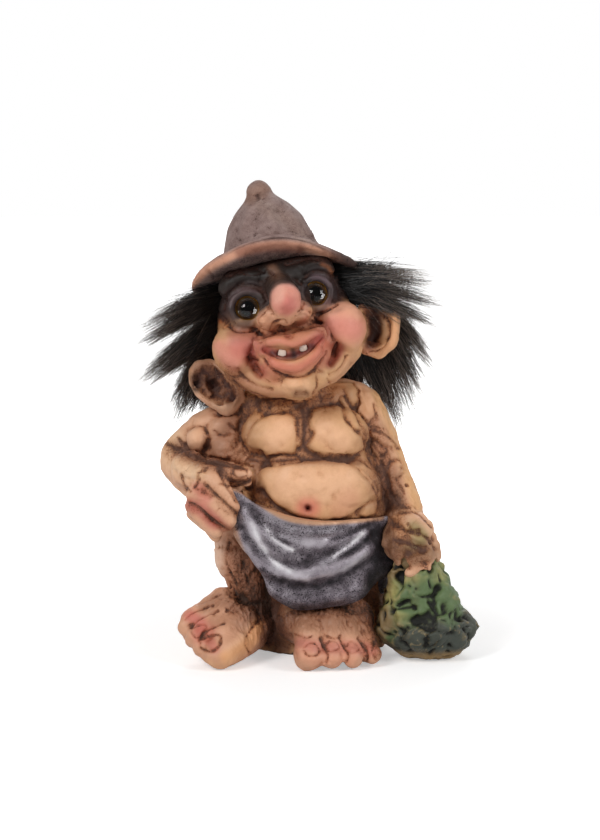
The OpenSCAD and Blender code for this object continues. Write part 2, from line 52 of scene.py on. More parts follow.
# %% The camera
PIXEL = 0.41
PHOTO_WIDE, PHOTO_TALL = 600, 840
SENSOR = 36.0
DISTANCE = 1500.0
TILT = math.radians(10)
AIM = np.array([0.0, 0.0, 96.6])
RIGHTWARD = np.array([1.0, 0.0, 0.0])
AHEAD = np.array([0.0, math.cos(TILT), -math.sin(TILT)])
UPWARD = np.array([0.0, math.sin(TILT), math.cos(TILT)])
EYE_POINT = AIM - DISTANCE * AHEAD
FOCAL = DISTANCE / PIXEL

view_camera = bpy.data.objects.new("photo_camera", bpy.data.cameras.new("photo_camera"))
bpy.context.scene.collection.objects.link(view_camera)
view_camera.location = Vector(EYE_POINT / 1000)
view_camera.rotation_euler = (math.pi / 2 - TILT, 0, 0)
view_camera.data.sensor_width = SENSOR
view_camera.data.lens = SENSOR * FOCAL / PHOTO_TALL
bpy.context.scene.camera = view_camera


def on_photo(p):
    """The photograph's x and y for points in millimetres, and how far off they are."""
    ray = p - EYE_POINT
    far = ray @ AHEAD
    across = PHOTO_WIDE / 2 + FOCAL * ray[:, 0] / far
    down = PHOTO_TALL / 2 - FOCAL * (ray @ UPWARD) / far
    return np.stack([across, down], 1), far


print("lens", round(view_camera.data.lens, 1), "mm")

# %% [markdown]
# Colours are written as they look on a screen, from 0 to 255, and turned into the linear
# light that a renderer counts in.

# %% Colours
# The third colour is near-black brown: the figure's dark paint, also used as painted shade under the hat's
# brim.
TAN, LIGHT, DARK_PAINT_AND_SHADE = (216, 166, 120), (242, 190, 150), (34, 25, 21)


def paint(r, g, b):
    """A screen colour as linear light."""
    c = np.array([r, g, b]) / 255
    return np.where(c < 0.04045, c / 12.92, ((c + 0.055) / 1.055) ** 2.4)


def smooth_step(x, a, b):
    """0 before a, 1 past b and a soft rise between them."""
    t = np.clip((x - a) / (b - a), 0, 1)
    return t * t * (3 - 2 * t)


def bell(x, wide, power=2):
    """1 in the middle, falling to 0 past a width. A higher power keeps the top flat for longer."""
    return np.exp(-(x / wide) ** power)


print("tan", paint(*TAN).round(3))

# %% [markdown]
# Hollows, hairs and stipple are too fine to place one by one. They come from value noise:
# random numbers on a grid, blended smoothly in between, with a fixed seed.

# %% Noise
GRAIN = np.random.default_rng(11).random((64, 64, 64))


def noise(q):
    """Smooth noise from -1 to 1 at points q, with features about one unit across."""
    base = np.floor(q).astype(int)
    f = q - base
    f = f * f * (3 - 2 * f)
    total = 0
    for corner in range(8):
        step = np.array([corner & 1, corner >> 1 & 1, corner >> 2])
        k = (base + step) % 64
        w = np.prod(np.where(step, f, 1 - f), axis=1)
        total = total + w * GRAIN[k[:, 0], k[:, 1], k[:, 2]]
    return total * 2 - 1


def hair_noise(p, way, wide, long):
    """Noise drawn out along a direction, as combed hair or scratches in clay are."""
    way = np.array(way, float) / np.linalg.norm(way)
    a = np.cross(way, [0.31, 0.87, 0.39])
    a /= np.linalg.norm(a)
    b = np.cross(way, a)
    return noise(np.stack([p @ a / wide, p @ b / wide, p @ way / long], 1))


print("noise from", round(float(noise(np.random.default_rng(1).random((500, 3)) * 40).min()), 2))

# %% [markdown]
# A copy of CAD nodes is welded and wrapped in one even skin of small faces, the way a mould
# is filled. The skin is then worked like clay: smoothed, pressed, and drawn on with strokes
# whose points are read off the photograph.

# %% The clay
CELL, CELLS = 2, 420  # pixels in a cell of the camera's depth picture, and cells along each side
BATCH = 4000          # points that are measured against a path at a time


def deselect():
    bpy.ops.object.select_all(action="DESELECT")


def read(rows, name, wide=1, kind=float):
    """One property of all rows of a mesh, as a flat array."""
    flat = np.empty(len(rows) * wide, kind)
    rows.foreach_get(name, flat)
    return flat


def wrapped(name, nodes, voxel, extra=()):
    """One closed skin of even faces round copies of CAD nodes and other closed shapes."""
    deselect()
    copies = list(extra)
    for node in nodes:
        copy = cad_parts[node].copy()
        copy.data = copy.data.copy()
        copy.parent = None
        copy.matrix_world = Matrix.Identity(4)
        bpy.context.scene.collection.objects.link(copy)
        copies.append(copy)
    for copy in copies:
        copy.hide_set(False)
        copy.select_set(True)
    bpy.context.view_layer.objects.active = copies[0]
    if len(copies) > 1:
        bpy.ops.object.join()
    piece = bpy.context.object
    piece.name = piece.data.name = name
    piece.data.materials.clear()
    bpy.ops.object.mode_set(mode="EDIT")
    bpy.ops.mesh.select_all(action="SELECT")
    bpy.ops.mesh.remove_doubles(threshold=1e-6)
    bpy.ops.object.mode_set(mode="OBJECT")
    wrap = piece.modifiers.new("wrap", "REMESH")
    wrap.mode = "VOXEL"
    wrap.voxel_size = voxel / 1000
    bpy.ops.object.modifier_apply(modifier="wrap")
    return piece


def capsule(a, b, ra, rb, turns=16):
    """A closed filler between two balls, in millimetres: a ball stretched along a line."""
    a, b = Vector(a), Vector(b)
    deselect()
    bpy.ops.mesh.primitive_uv_sphere_add(segments=turns, ring_count=turns, radius=1)
    filler = bpy.context.object
    lean = (b - a).to_track_quat("Z", "Y").to_matrix()
    for v in filler.data.vertices:
        low = v.co.z < 0
        v.co = ((a if low else b) + lean @ (v.co * (ra if low else rb))) / 1000
    return filler


class Clay:
    """A dense mesh whose points are moved with numpy, in millimetres."""

    def __init__(self, piece):
        self.piece = piece
        mesh = piece.data
        self.n = len(mesh.vertices)
        self.p = read(mesh.vertices, "co", 3).reshape(-1, 3) * 1000
        ends = read(mesh.edges, "vertices", 2, int)
        self.a, self.b = ends.reshape(-1, 2).T
        self.links = np.bincount(ends, minlength=self.n)[:, None]
        self.part = np.zeros(self.n, int)
        self.member = np.ones((self.n, 1))
        self.colour = np.tile(paint(*TAN), (self.n, 1))
        self.dark = np.zeros(self.n)
        self.look()

    def look(self):
        """Writes the points back and reads the normals and what the camera sees. A tool reaches
        the points that are seen, and a brush the open ones, which also lie just round an edge."""
        mesh = self.piece.data
        mesh.vertices.foreach_set("co", (self.p / 1000).ravel())
        mesh.update()
        self.normal = read(mesh.vertex_normals, "vector", 3, np.float32).reshape(-1, 3).astype(float)
        self.at, far = on_photo(self.p)
        to_eye = EYE_POINT - self.p
        to_eye /= np.linalg.norm(to_eye, axis=1)[:, None]
        self.facing = np.einsum("ij,ij->i", self.normal, to_eye)
        column, row = np.clip((self.at / CELL).astype(int), 0, CELLS - 1).T
        near = np.full((CELLS, CELLS), 1e9)
        np.minimum.at(near, (column, row), far)
        self.open = (self.facing > -0.35) & (far < near[column, row] + 9)
        for axis in (0, 1):
            near = np.minimum(near, np.minimum(np.roll(near, 1, axis), np.roll(near, -1, axis)))
        self.seen = (self.facing > -0.1) & (far < near[column, row] + 4)

    def evened(self, field, times, strength=0.6):
        """A field blurred along the mesh's edges."""
        f = field.reshape(self.n, -1).copy()
        for _ in range(times):
            total = np.stack([np.bincount(self.a, column[self.b], self.n)
                              + np.bincount(self.b, column[self.a], self.n) for column in f.T], 1)
            f += strength * (total / self.links - f)
        return f.reshape(field.shape)

    def near(self, path, reach, parts=(), closed=False, brush=False):
        """The points close to a path drawn on the photograph: their numbers, their distance in
        pixels, and how far along the path they are, from 0 to 1."""
        line = drawn(path, closed)
        low, high = line.min(0) - reach, line.max(0) + reach
        ok = (self.open if brush else self.seen) & (self.at > low).all(1) & (self.at < high).all(1)
        if parts:
            ok &= self.member[:, parts].sum(1) > (0.15 if brush else 0.5)
        i = np.flatnonzero(ok)
        d, t = np.empty(len(i)), np.empty(len(i))
        for start in range(0, len(i), BATCH):
            batch = slice(start, start + BATCH)
            off = self.at[i[batch], None] - line[None]
            gap = np.hypot(off[..., 0], off[..., 1])
            d[batch] = gap.min(1)
            t[batch] = gap.argmin(1) / max(1, len(line) - 1)
        keep = d < reach
        return i[keep], d[keep], t[keep]

    def push(self, i, amount):
        """Moves points out along their normals, less where they turn from the camera."""
        self.p[i] += self.normal[i] * (amount * smooth_step(self.facing[i], -0.1, 0.35))[:, None]

    def stroke(self, path, width, height, parts=(), taper=True, kind="soft"):
        """A ridge, or a groove with a negative height, along a path."""
        i, d, t = self.near(path, width * 3.2, parts)
        ends = np.clip(4.2 * np.sqrt(np.clip(t * (1 - t), 0, 1)), 0, 1) if taper and len(path) > 1 else 1
        profile = np.exp(-1.4 * d / width) if kind == "crease" else bell(d, width)
        self.push(i, height * profile * ends)
        return self

    def plate(self, outline, rise, edge, groove, parts=()):
        """A raised patch inside a closed outline, with a groove round it."""
        shape = drawn(outline, True)
        i, d, t = self.near(outline, 60, parts, True)
        if not len(i):
            return self
        x, y = self.at[i].T
        x1, y1 = shape.T
        x2, y2 = np.roll(shape, -1, 0).T
        inside = np.zeros(len(i), bool)
        for k in range(len(shape)):
            cross = (y1[k] > y) != (y2[k] > y)
            slope = (x2[k] - x1[k]) / (y2[k] - y1[k] + 1e-12)
            inside ^= cross & (x < slope * (y - y1[k]) + x1[k])
        d = np.where(inside, d, -d)
        self.push(i, rise * smooth_step(d, -edge, edge) - groove * bell(d + edge * 0.6, edge))
        return self

    def pull(self, at, reach, by, parts=()):
        """Drags clay under a point of the photograph by so many pixels to the right and down, and
        by millimetres nearer."""
        i, d, t = self.near([at], reach * 2.2, parts)
        w = bell(d, reach)[:, None]
        self.p[i] += w * (by[0] * PIXEL * RIGHTWARD - by[1] * PIXEL * UPWARD - by[2] * AHEAD)
        return self

    def brushed(self, i, parts):
        """How well a brush reaches points, which fades across the border of a part."""
        reach = smooth_step(self.facing[i], -0.35, -0.05)
        return reach * smooth_step(self.member[i][:, parts].sum(1), 0.15, 0.85) if parts else reach

    def tint(self, path, radius, colour, strength=1.0, parts=(), soft=1.6):
        """Paint brushed along a path."""
        i, d, t = self.near(path, radius * 2.2, parts, brush=True)
        w = strength * bell(d, radius, 2 * soft) * self.brushed(i, parts)
        self.colour[i] += (paint(*colour) - self.colour[i]) * w[:, None]
        return self

    def brush_wash_and_shade(self, path, radius, strength=1.0, parts=(), soft=1.0):
        """Dark brushed along a path, which is brown wash in some strokes and painted shade in others; a
        negative strength wipes it off.
        """
        i, d, t = self.near(path, radius * 2.2, parts, brush=True)
        self.dark[i] += strength * bell(d, radius, 2 * soft) * self.brushed(i, parts)
        return self

    def coat(self, colour, share):
        """Moves the paint of all points towards a colour, by a share for each point."""
        self.colour += (paint(*colour) - self.colour) * share[:, None]


def drawn(path, closed=False):
    """A smooth curve through the points, with a point at about every pixel."""
    q = np.array(path, float).reshape(-1, 2)
    if len(q) == 1:
        return q
    before, after = (q[-1:], q[:2]) if closed else (2 * q[:1] - q[1:2], 2 * q[-1:] - q[-2:-1])
    ring = np.vstack([before, q, after])
    out = []
    for k in range(1, len(ring) - 2):
        a, b, c, d = ring[k - 1:k + 3]
        steps = max(2, int(np.hypot(*(c - b))))
        t = np.arange(steps)[:, None] / steps
        out.append(0.5 * (2 * b + (c - a) * t + (2 * a - 5 * b + 4 * c - d) * t ** 2
                          + (3 * b - a - 3 * c + d) * t ** 3))
    if not closed:
        out.append(q[-1:])
    return np.vstack(out)


def spot(x, y, depth):
    """The point that the photograph shows at pixel x, y, at a depth of so many millimetres."""
    ray = AHEAD + RIGHTWARD * (x - PHOTO_WIDE / 2) / FOCAL + UPWARD * (PHOTO_TALL / 2 - y) / FOCAL
    return EYE_POINT + ray * (depth - EYE_POINT[1]) / ray[1]


def roll_of_clay(*balls):
    """Fillers through balls, each given by its pixel x and y and its depth and radius in millimetres."""
    return [capsule(spot(*a[:3]), spot(*b[:3]), a[3], b[3]) for a, b in zip(balls[:-1], balls[1:])]


SKIN_NODES = ["head", "nose", "right_ear", "left_ear", "body_shell", "right_arm", "right_hand",
              "left_arm", "left_hand", "right_leg", "right_foot", "left_leg", "left_foot"]
print("clay tools ready for", len(SKIN_NODES), "nodes")

# %% [markdown]
# The head, body, limbs, hands and feet of the real figure are one poured skin. So their nodes
# are wrapped together, with the hollow filled, and a few rolls of clay thicken the fingers and
# toes. The skin is cut back into its named pieces at the end.

# %% Skin
SKIN_VOXEL = 0.535
hollow = [
    # two middles and two radii, in millimetres: belly, chest, neck and head, underside, haunches, flank
    ((5, 4, 14), (5, 4, 60), 17, 22),
    ((5, 4, 60), (-3, 5, 108), 22, 9),
    ((-3, 5, 108), (-5, 5, 142), 9, 24),
    ((0, 0, 10), (0, 0, 14), 9, 9),
    ((26, 8, 8), (27, 8, 42), 12, 11),
    ((-22, 9, 10), (-20, 9, 32), 9, 10),
    ((-18, -8, 66), (-16, -8, 78), 7, 8),
]
rolls = [
    # the right hand's fingers, thumb and wrist, the thigh under it, and its palm
    [(207, 478, -23, 6), (219, 488, -28, 4.6), (232, 506, -31, 3.6)],
    [(198, 496, -22, 5), (212, 504, -28, 4.2), (229, 521, -30, 3.2)],
    [(195, 506, -19, 4.6), (203, 517, -24, 3.9), (216, 531, -27, 3.0)],
    [(214, 470, -20, 5), (232, 472, -26, 3.5), (246, 474, -27, 2.8)],
    [(190, 470, -12, 8), (208, 480, -20, 7)],
    [(229, 556, -6, 6), (229, 526, -8, 6)],
    [(226, 474, -16, 4.5), (232, 488, -17, 4.5), (240, 500, -16, 4.5)],
    # the left hand
    [(404, 522, -12, 8), (418, 532, -16, 7), (426, 545, -15, 5.5)],
    [(398, 535, -18, 5), (399, 548, -22, 4)],
    [(404, 534, -16, 5.5), (412, 542, -18, 5)],
    [(407, 546, -20, 4.5), (421, 550, -20, 4.5)],
    # the right foot's toes
    [(236, 622, -16, 9), (222, 640, -26, 8.2), (214, 652, -31, 5.6)],
    [(225, 612, -16, 8), (203, 630, -25, 5.6), (196, 636, -28, 4.2)],
    [(222, 604, -14, 7), (192, 620, -20, 4.6), (186, 628, -22, 3.6)],
    # the left foot's toes and instep
    [(312, 630, -22, 9), (312, 648, -32, 6.6)],
    [(330, 628, -22, 9), (333, 650, -32, 5.2)],
    [(345, 630, -20, 8), (352, 650, -30, 5)],
    [(358, 632, -18, 7), (369, 652, -26, 4.6)],
    [(300, 620, -14, 10), (350, 620, -12, 10)],
]
fillers = [capsule(*q) for q in hollow] + [q for balls in rolls for q in roll_of_clay(*balls)]
skin = Clay(wrapped("skin", SKIN_NODES, SKIN_VOXEL, fillers))
skin.p = skin.evened(skin.p, 14)
skin.p[:, 2] = np.maximum(skin.p[:, 2], 0)
skin.look()
print("skin points", skin.n)

# %% [markdown]
# Each point of the skin is told which node it belongs to: the one whose surface is nearest.
# Strokes can then be kept to one part, so that a groove on the belly doesn't mark the hand
# in front of it.

# %% Parts of the skin
def sprinkled(node, per_mm2=0.5):
    """Points spread over a CAD node, in millimetres."""
    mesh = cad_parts[node].data
    mesh.calc_loop_triangles()
    v = read(mesh.vertices, "co", 3).reshape(-1, 3) * 1000
    a, b, c = (v[corner] for corner in read(mesh.loop_triangles, "vertices", 3, int).reshape(-1, 3).T)
    area = np.linalg.norm(np.cross(b - a, c - a), axis=1) / 2
    dice = np.random.default_rng(5)
    k = dice.choice(len(a), int(area.sum() * per_mm2) + 50, p=area / area.sum())
    r1, r2 = np.sqrt(dice.random(len(k)))[:, None], dice.random(len(k))[:, None]
    return a[k] * (1 - r1) + b[k] * r1 * (1 - r2) + c[k] * r1 * r2


def named(clay, nodes):
    """Gives each point of the clay the number of its nearest node, with borders smoothed by a vote."""
    sets = [sprinkled(node) for node in nodes]
    tree = KDTree(sum(len(q) for q in sets))
    label = np.concatenate([np.full(len(q), k) for k, q in enumerate(sets)])
    for k, q in enumerate(np.vstack(sets)):
        tree.insert(q, k)
    tree.balance()
    near = label[[tree.find(q)[1] for q in clay.p]]
    clay.member = clay.evened((near[:, None] == np.arange(len(nodes))).astype(float), 14)
    clay.part = clay.member.argmax(1)


def join_islands(clay, least=400):
    """Gives each small island of a part to the part that lies round it."""
    group = np.arange(clay.n)
    same = clay.part[clay.a] == clay.part[clay.b]
    a, b = clay.a[same], clay.b[same]
    while True:
        low = np.minimum(group[a], group[b])
        after = group.copy()
        np.minimum.at(after, a, low)
        np.minimum.at(after, b, low)
        after = after[after]
        if (after == group).all():
            break
        group = after
    small = np.bincount(group, minlength=clay.n)[group] < least
    rest = clay.member.copy()
    rest[small, clay.part[small]] = -1
    clay.part = rest.argmax(1)
    return int(small.sum())


named(skin, SKIN_NODES)
print("points of islands", join_islands(skin), join_islands(skin))
HEAD, FACE, NOSE, BODY = [0, 1], [0], [1], [4]
RIGHT_EAR, LEFT_EAR = [2], [3]
RIGHT_ARM, LEFT_ARM = [5, 6], [7, 8]
RIGHT_FOOT, LEFT_FOOT = [9, 10], [11, 12]
print("points a part", dict(zip(SKIN_NODES, np.bincount(skin.part).tolist())))

# %% [markdown]
# Before the fine lines, a few forms are dragged into place, as one does with a thumb: the left ear
# is drawn up, the ball of the nose is swelled, the arm's muscles are raised and the hollow between
# the thumb and the belly is closed.

# %% Thumb work
pulls = [
    # parts, place, reach, then pixels to the right and down and millimetres nearer
    (LEFT_EAR, (385, 318), 14, (3, -9, 0)),
    (LEFT_EAR, (392, 345), 10, (3, -2, 0)),
    (RIGHT_EAR, (208, 378), 12, (2, 3, 0)),
    (BODY, (246, 484), 9, (-2, 0, 7)),
    (RIGHT_ARM, (225, 452), 12, (0, 0, 3)),
    (RIGHT_ARM, (195, 440), 8, (0, 0, 2.5)),
    (RIGHT_ARM, (220, 425), 10, (0, 0, 2)),
    (HEAD, (285, 303), 15, (-0.5, 1, 1)),
    (HEAD, (264, 319), 6, (-3, 1, 2)),
    (HEAD, (286, 300), 12, (0, 0, 2.5)),
    (HEAD, (304, 310), 6, (1.5, -1, 1)),
]
for parts, at, reach, by in pulls:
    skin.pull(at, reach, by, parts)
skin.look()
print("dragged", len(pulls), "places")

# %% [markdown]
# The face is drawn line by line: the lids, the folds from the nose, the lips, the dimples and the
# chin's dent. A crease has a sharp bottom, where the brown wash will collect. Round the mouth, the
# clay that the camera doesn't see is smoothed, so that the lips end softly in a side view.

# %% Face lines
face = [
    # kind, width in pixels, height in millimetres, path
    # viewer's left eye: lid roll, creases above and below, crow's foot
    ("soft", 2.4, 0.7, [(230, 312), (231, 301), (238, 294), (248, 291), (259, 294), (266, 303),
        (268, 313)]),
    ("soft", 2.4, -1.0, [(223, 312), (227, 298), (236, 288), (250, 285), (262, 290)]),
    ("soft", 2.8, 0.6, [(230, 319), (240, 325), (250, 326), (261, 321)]),
    ("crease", 1.8, -1.1, [(226, 323), (236, 331), (250, 332), (263, 326)]),
    ("crease", 1.4, -0.8, [(222, 316), (228, 321), (231, 326)]),
    ("crease", 1.4, -0.8, [(221, 328), (228, 327), (234, 325)]),
    ("crease", 1.6, -0.9, [(216, 300), (218, 312), (224, 322)]),
    # viewer's right eye
    ("soft", 2.4, 0.7, [(300, 297), (301, 286), (308, 279), (318, 277), (328, 281), (334, 291),
        (334, 302)]),
    ("soft", 2.4, -1.0, [(304, 280), (309, 273), (318, 271), (330, 275), (338, 286), (341, 300)]),
    ("soft", 2.4, 0.6, [(302, 302), (309, 308), (318, 310), (328, 307), (333, 302)]),
    ("crease", 1.6, -1.0, [(304, 309), (314, 314), (326, 312), (338, 304)]),
    # brows
    ("soft", 5.0, 1.2, [(222, 294), (230, 282), (244, 276), (260, 278)]),
    ("soft", 5.0, 1.0, [(300, 270), (314, 265), (330, 268), (341, 278)]),
    ("crease", 1.8, -0.8, [(240, 272), (250, 276), (262, 273)]),
    ("crease", 1.8, -0.8, [(268, 270), (275, 276), (274, 284)]),
    ("soft", 2.2, -1.0, [(228, 278), (240, 270), (254, 268), (266, 272)]),
    ("soft", 2.2, -0.9, [(284, 264), (296, 262), (308, 258), (320, 260)]),
    ("soft", 2.0, -0.9, [(236, 286), (248, 280), (262, 283)]),
    ("soft", 2.0, -0.8, [(306, 269), (318, 266), (332, 270)]),
    ("soft", 3.0, 0.9, [(246, 262), (262, 258), (280, 258)]),
    ("soft", 2.4, -1.0, [(270, 283), (277, 280), (286, 279), (296, 281), (302, 286)]),
    # nose
    ("crease", 1.8, -1.0, [(268, 286), (268, 300), (267, 310), (259, 318), (260, 326)]),
    ("crease", 1.8, -1.0, [(302, 282), (302, 294), (304, 300), (311, 304), (311, 314)]),
    ("soft", 3.4, 0.5, [(263, 324), (267, 314), (276, 313)]),
    ("crease", 1.6, -0.9, [(270, 330), (275, 322), (284, 320), (288, 324)]),
    ("crease", 1.6, -1.1, [(291, 325), (296, 317), (304, 315), (311, 320)]),
    ("soft", 1.6, -0.35, [(288, 290), (293, 293)]),
    # lips, from the top border down, and the groove above them
    ("crease", 1.6, -0.8, [(260, 344), (264, 338), (272, 335), (282, 331), (287, 337), (292, 338),
        (296, 331), (312, 329), (325, 331)]),
    ("soft", 4.4, 1.1, [(264, 343), (274, 341), (284, 342), (292, 344), (302, 341), (313, 336),
        (323, 334)]),
    ("crease", 2.2, -2.6, [(261, 349), (271, 354), (281, 358), (292, 358), (304, 354), (314, 346),
        (326, 336)]),
    ("soft", 2.2, -1.6, [(276, 356), (287, 357), (297, 356), (308, 351)]),
    ("soft", 3.6, 1.2, [(269, 359), (279, 366), (291, 369), (303, 366), (314, 357), (322, 348)]),
    ("crease", 2.0, -1.1, [(262, 355), (268, 365), (279, 373), (294, 377), (310, 373), (320, 362),
        (328, 350)]),
    ("soft", 2.6, -1.2, [(288, 329), (288, 337)]),
    # smile folds and dimples
    ("soft", 3.2, -1.6, [(258, 330), (260, 338), (254, 348), (251, 358), (256, 370), (263, 377)]),
    ("soft", 3.2, -1.6, [(310, 316), (320, 325), (330, 336), (336, 346), (334, 358), (328, 366)]),
    ("soft", 5.0, -1.9, [(249, 355), (254, 364)]),
    ("soft", 4.6, -2.1, [(334, 348), (339, 350)]),
    ("soft", 4.0, 0.7, [(266, 368), (272, 374), (268, 380)]),
    ("soft", 4.0, 0.7, [(324, 352), (326, 362), (320, 370)]),
    # jaw and chin
    ("soft", 2.4, -0.9, [(238, 366), (240, 374), (248, 381), (260, 387), (274, 390)]),
    ("soft", 2.2, -1.2, [(347, 354), (345, 362), (338, 371), (328, 375)]),
    ("soft", 2.2, -0.7, [(352, 362), (348, 372), (338, 381), (326, 386)]),
    ("soft", 3.4, -1.0, [(294, 394), (301, 395), (308, 393)]),
    ("crease", 1.4, -0.6, [(316, 376), (317, 386), (313, 394), (318, 404)]),
    ("crease", 1.4, -0.6, [(327, 378), (330, 386), (327, 396)]),
    ("crease", 1.8, -0.8, [(262, 396), (280, 402), (300, 405), (322, 402), (340, 396)]),
    ("crease", 1.6, -0.7, [(232, 380), (246, 390), (262, 396)]),
    ("soft", 3.0, 0.6, [(282, 384), (292, 386), (304, 385)]),
]
for kind, width, height, path in face:
    skin.stroke(path, width, height, HEAD, kind=kind)
cheeks = [
    [(214, 345), (221, 336), (238, 334), (256, 333), (259, 343), (248, 354), (240, 368), (225, 362)],
    [(324, 314), (340, 308), (354, 307), (362, 320), (362, 340), (352, 354), (341, 342), (332, 328)],
]
for outline in cheeks:
    skin.plate(outline, 1.0, 6, 0.2, HEAD)
mouth = skin.member[:, 0] * ~skin.seen * bell(np.hypot(skin.at[:, 0] - 292, skin.at[:, 1] - 352), 44, 4)
skin.p += (skin.evened(mouth, 6) * 0.9)[:, None] * (skin.evened(skin.p, 60) - skin.p)
skin.look()
print("face lines", len(face))

# %% [markdown]
# The chest and belly are raised plates with a worn light middle, like bark or a rhino's hide. Each is
# an outline from the photograph: inside it rises, and a groove runs round it.

# %% Chest and belly
plates = [
    # rise, width of the edge, depth of the groove, outline
    (1.5, 3.2, 1.1, [(258, 422), (270, 416), (286, 415), (295, 420), (298, 434), (296, 448), (292, 453),
        (280, 453), (268, 456), (262, 450), (252, 447), (248, 442), (252, 430)]),
    (1.5, 3.2, 1.1, [(312, 411), (326, 407), (340, 407), (345, 420), (353, 430), (361, 437), (361, 448),
        (350, 455), (336, 457), (318, 453), (309, 446), (314, 434), (310, 424)]),
    (1.7, 4.0, 1.3, [(261, 470), (274, 466), (292, 464), (312, 462), (332, 461), (347, 465), (360, 473),
        (371, 484), (375, 494), (366, 503), (355, 511), (344, 517), (326, 520), (308, 518), (290, 512),
        (276, 503), (266, 492), (260, 482)]),
    (0.9, 2.0, 0.8, [(270, 459), (280, 456), (297, 457), (299, 462), (284, 464), (272, 465)]),
    (0.8, 2.4, 0.8, [(298, 424), (301, 420), (303, 434), (300, 446), (297, 444), (299, 434)]),
    (0.8, 3.0, 0.8, [(243, 462), (252, 456), (262, 460), (258, 476), (262, 488), (252, 486), (244, 476)]),
    (0.7, 3.0, 0.8, [(342, 398), (352, 408), (359, 424), (357, 430), (348, 418), (342, 408)]),
    (0.8, 3.0, 0.8, [(362, 470), (372, 478), (378, 492), (376, 512), (366, 518), (360, 512), (372, 500),
        (373, 486)]),
    (0.7, 2.6, 0.7, [(262, 400), (280, 398), (296, 402), (294, 408), (276, 412), (262, 410)]),
]
for rise, edge, groove, outline in plates:
    skin.plate(outline, rise, edge, groove * 0.6, BODY)
body_lines = [
    ("crease", 2.6, -1.6, [(240, 404), (241, 424), (238, 444), (241, 462)]),
    ("crease", 2.4, -1.5, [(262, 488), (272, 502), (286, 513), (304, 520), (326, 523), (350, 521),
        (378, 518)]),
    ("crease", 2.2, -1.2, [(302, 410), (304, 424), (303, 440), (306, 450), (320, 456), (340, 460),
        (356, 459)]),
    ("crease", 1.8, -0.9, [(246, 458), (262, 462), (280, 461), (300, 459), (330, 459)]),
    ("crease", 2.2, -1.2, [(343, 388), (348, 402), (356, 416), (364, 430), (366, 444), (370, 460),
        (380, 478), (388, 496), (392, 512)]),
    ("crease", 1.6, -0.8, [(322, 376), (318, 390), (322, 402)]),
    ("crease", 1.6, -0.8, [(268, 398), (270, 408), (262, 416)]),
    ("crease", 1.4, -0.7, [(372, 486), (378, 500), (376, 514)]),
    ("soft", 1.2, -0.5, [(340, 452), (341, 460)]),
    ("soft", 1.2, -0.5, [(345, 450), (347, 458)]),
    ("soft", 1.2, -0.5, [(330, 455), (331, 461)]),
    ("soft", 1.2, -0.5, [(246, 434), (250, 444)]),
]
for kind, width, height, path in body_lines:
    skin.stroke(path, width, height * 0.65, BODY, kind=kind)
skin.stroke([(308, 508)], 4.6, -1.7, BODY)
navel_rim = [(303, 506), (305, 502), (311, 502), (314, 507), (311, 513), (305, 512), (303, 507)]
skin.stroke(navel_rim, 1.8, 0.7, BODY, taper=False)
skin.look()
print("plates", len(plates), "lines", len(body_lines))

# %% [markdown]
# The arms carry knotted muscle lumps with deep creases between them. The fingers are parted by
# creases, with wrinkles over the joints and small nails.

# %% Arms and hands
arm_plates = [
    # rise, width of the edge, depth of the groove, parts, outline
    (1.6, 3.0, 1.0, RIGHT_ARM, [(188, 434), (196, 429), (204, 431), (205, 440), (200, 449), (194, 453),
        (189, 446)]),
    (1.3, 4.0, 0.9, RIGHT_ARM, [(208, 432), (216, 420), (232, 414), (238, 424), (236, 440), (226, 450),
        (212, 448)]),
    (1.0, 3.0, 0.7, RIGHT_ARM, [(206, 452), (218, 450), (226, 456), (218, 460), (208, 458)]),
    (1.0, 3.0, 0.8, RIGHT_ARM, [(170, 452), (184, 458), (200, 462), (203, 470), (194, 478), (182, 474),
        (172, 464)]),
    (1.2, 2.6, 0.9, LEFT_ARM, [(371, 431), (380, 430), (392, 438), (398, 447), (388, 446), (376, 440)]),
    (1.0, 2.4, 0.8, LEFT_ARM, [(370, 442), (377, 444), (385, 454), (378, 456), (372, 450)]),
    (1.0, 3.0, 0.8, LEFT_ARM, [(350, 385), (364, 384), (374, 396), (374, 412), (366, 422), (356, 408)]),
    (1.1, 2.4, 0.9, LEFT_ARM, [(390, 466), (398, 462), (402, 470), (396, 480), (402, 492), (394, 494),
        (390, 482)]),
    (1.2, 3.0, 0.8, LEFT_ARM, [(398, 516), (410, 512), (424, 520), (432, 534), (428, 546), (414, 540),
        (402, 530)]),
]
for rise, edge, groove, parts, outline in arm_plates:
    skin.plate(outline, rise, edge * 1.2, groove * 0.5, parts)
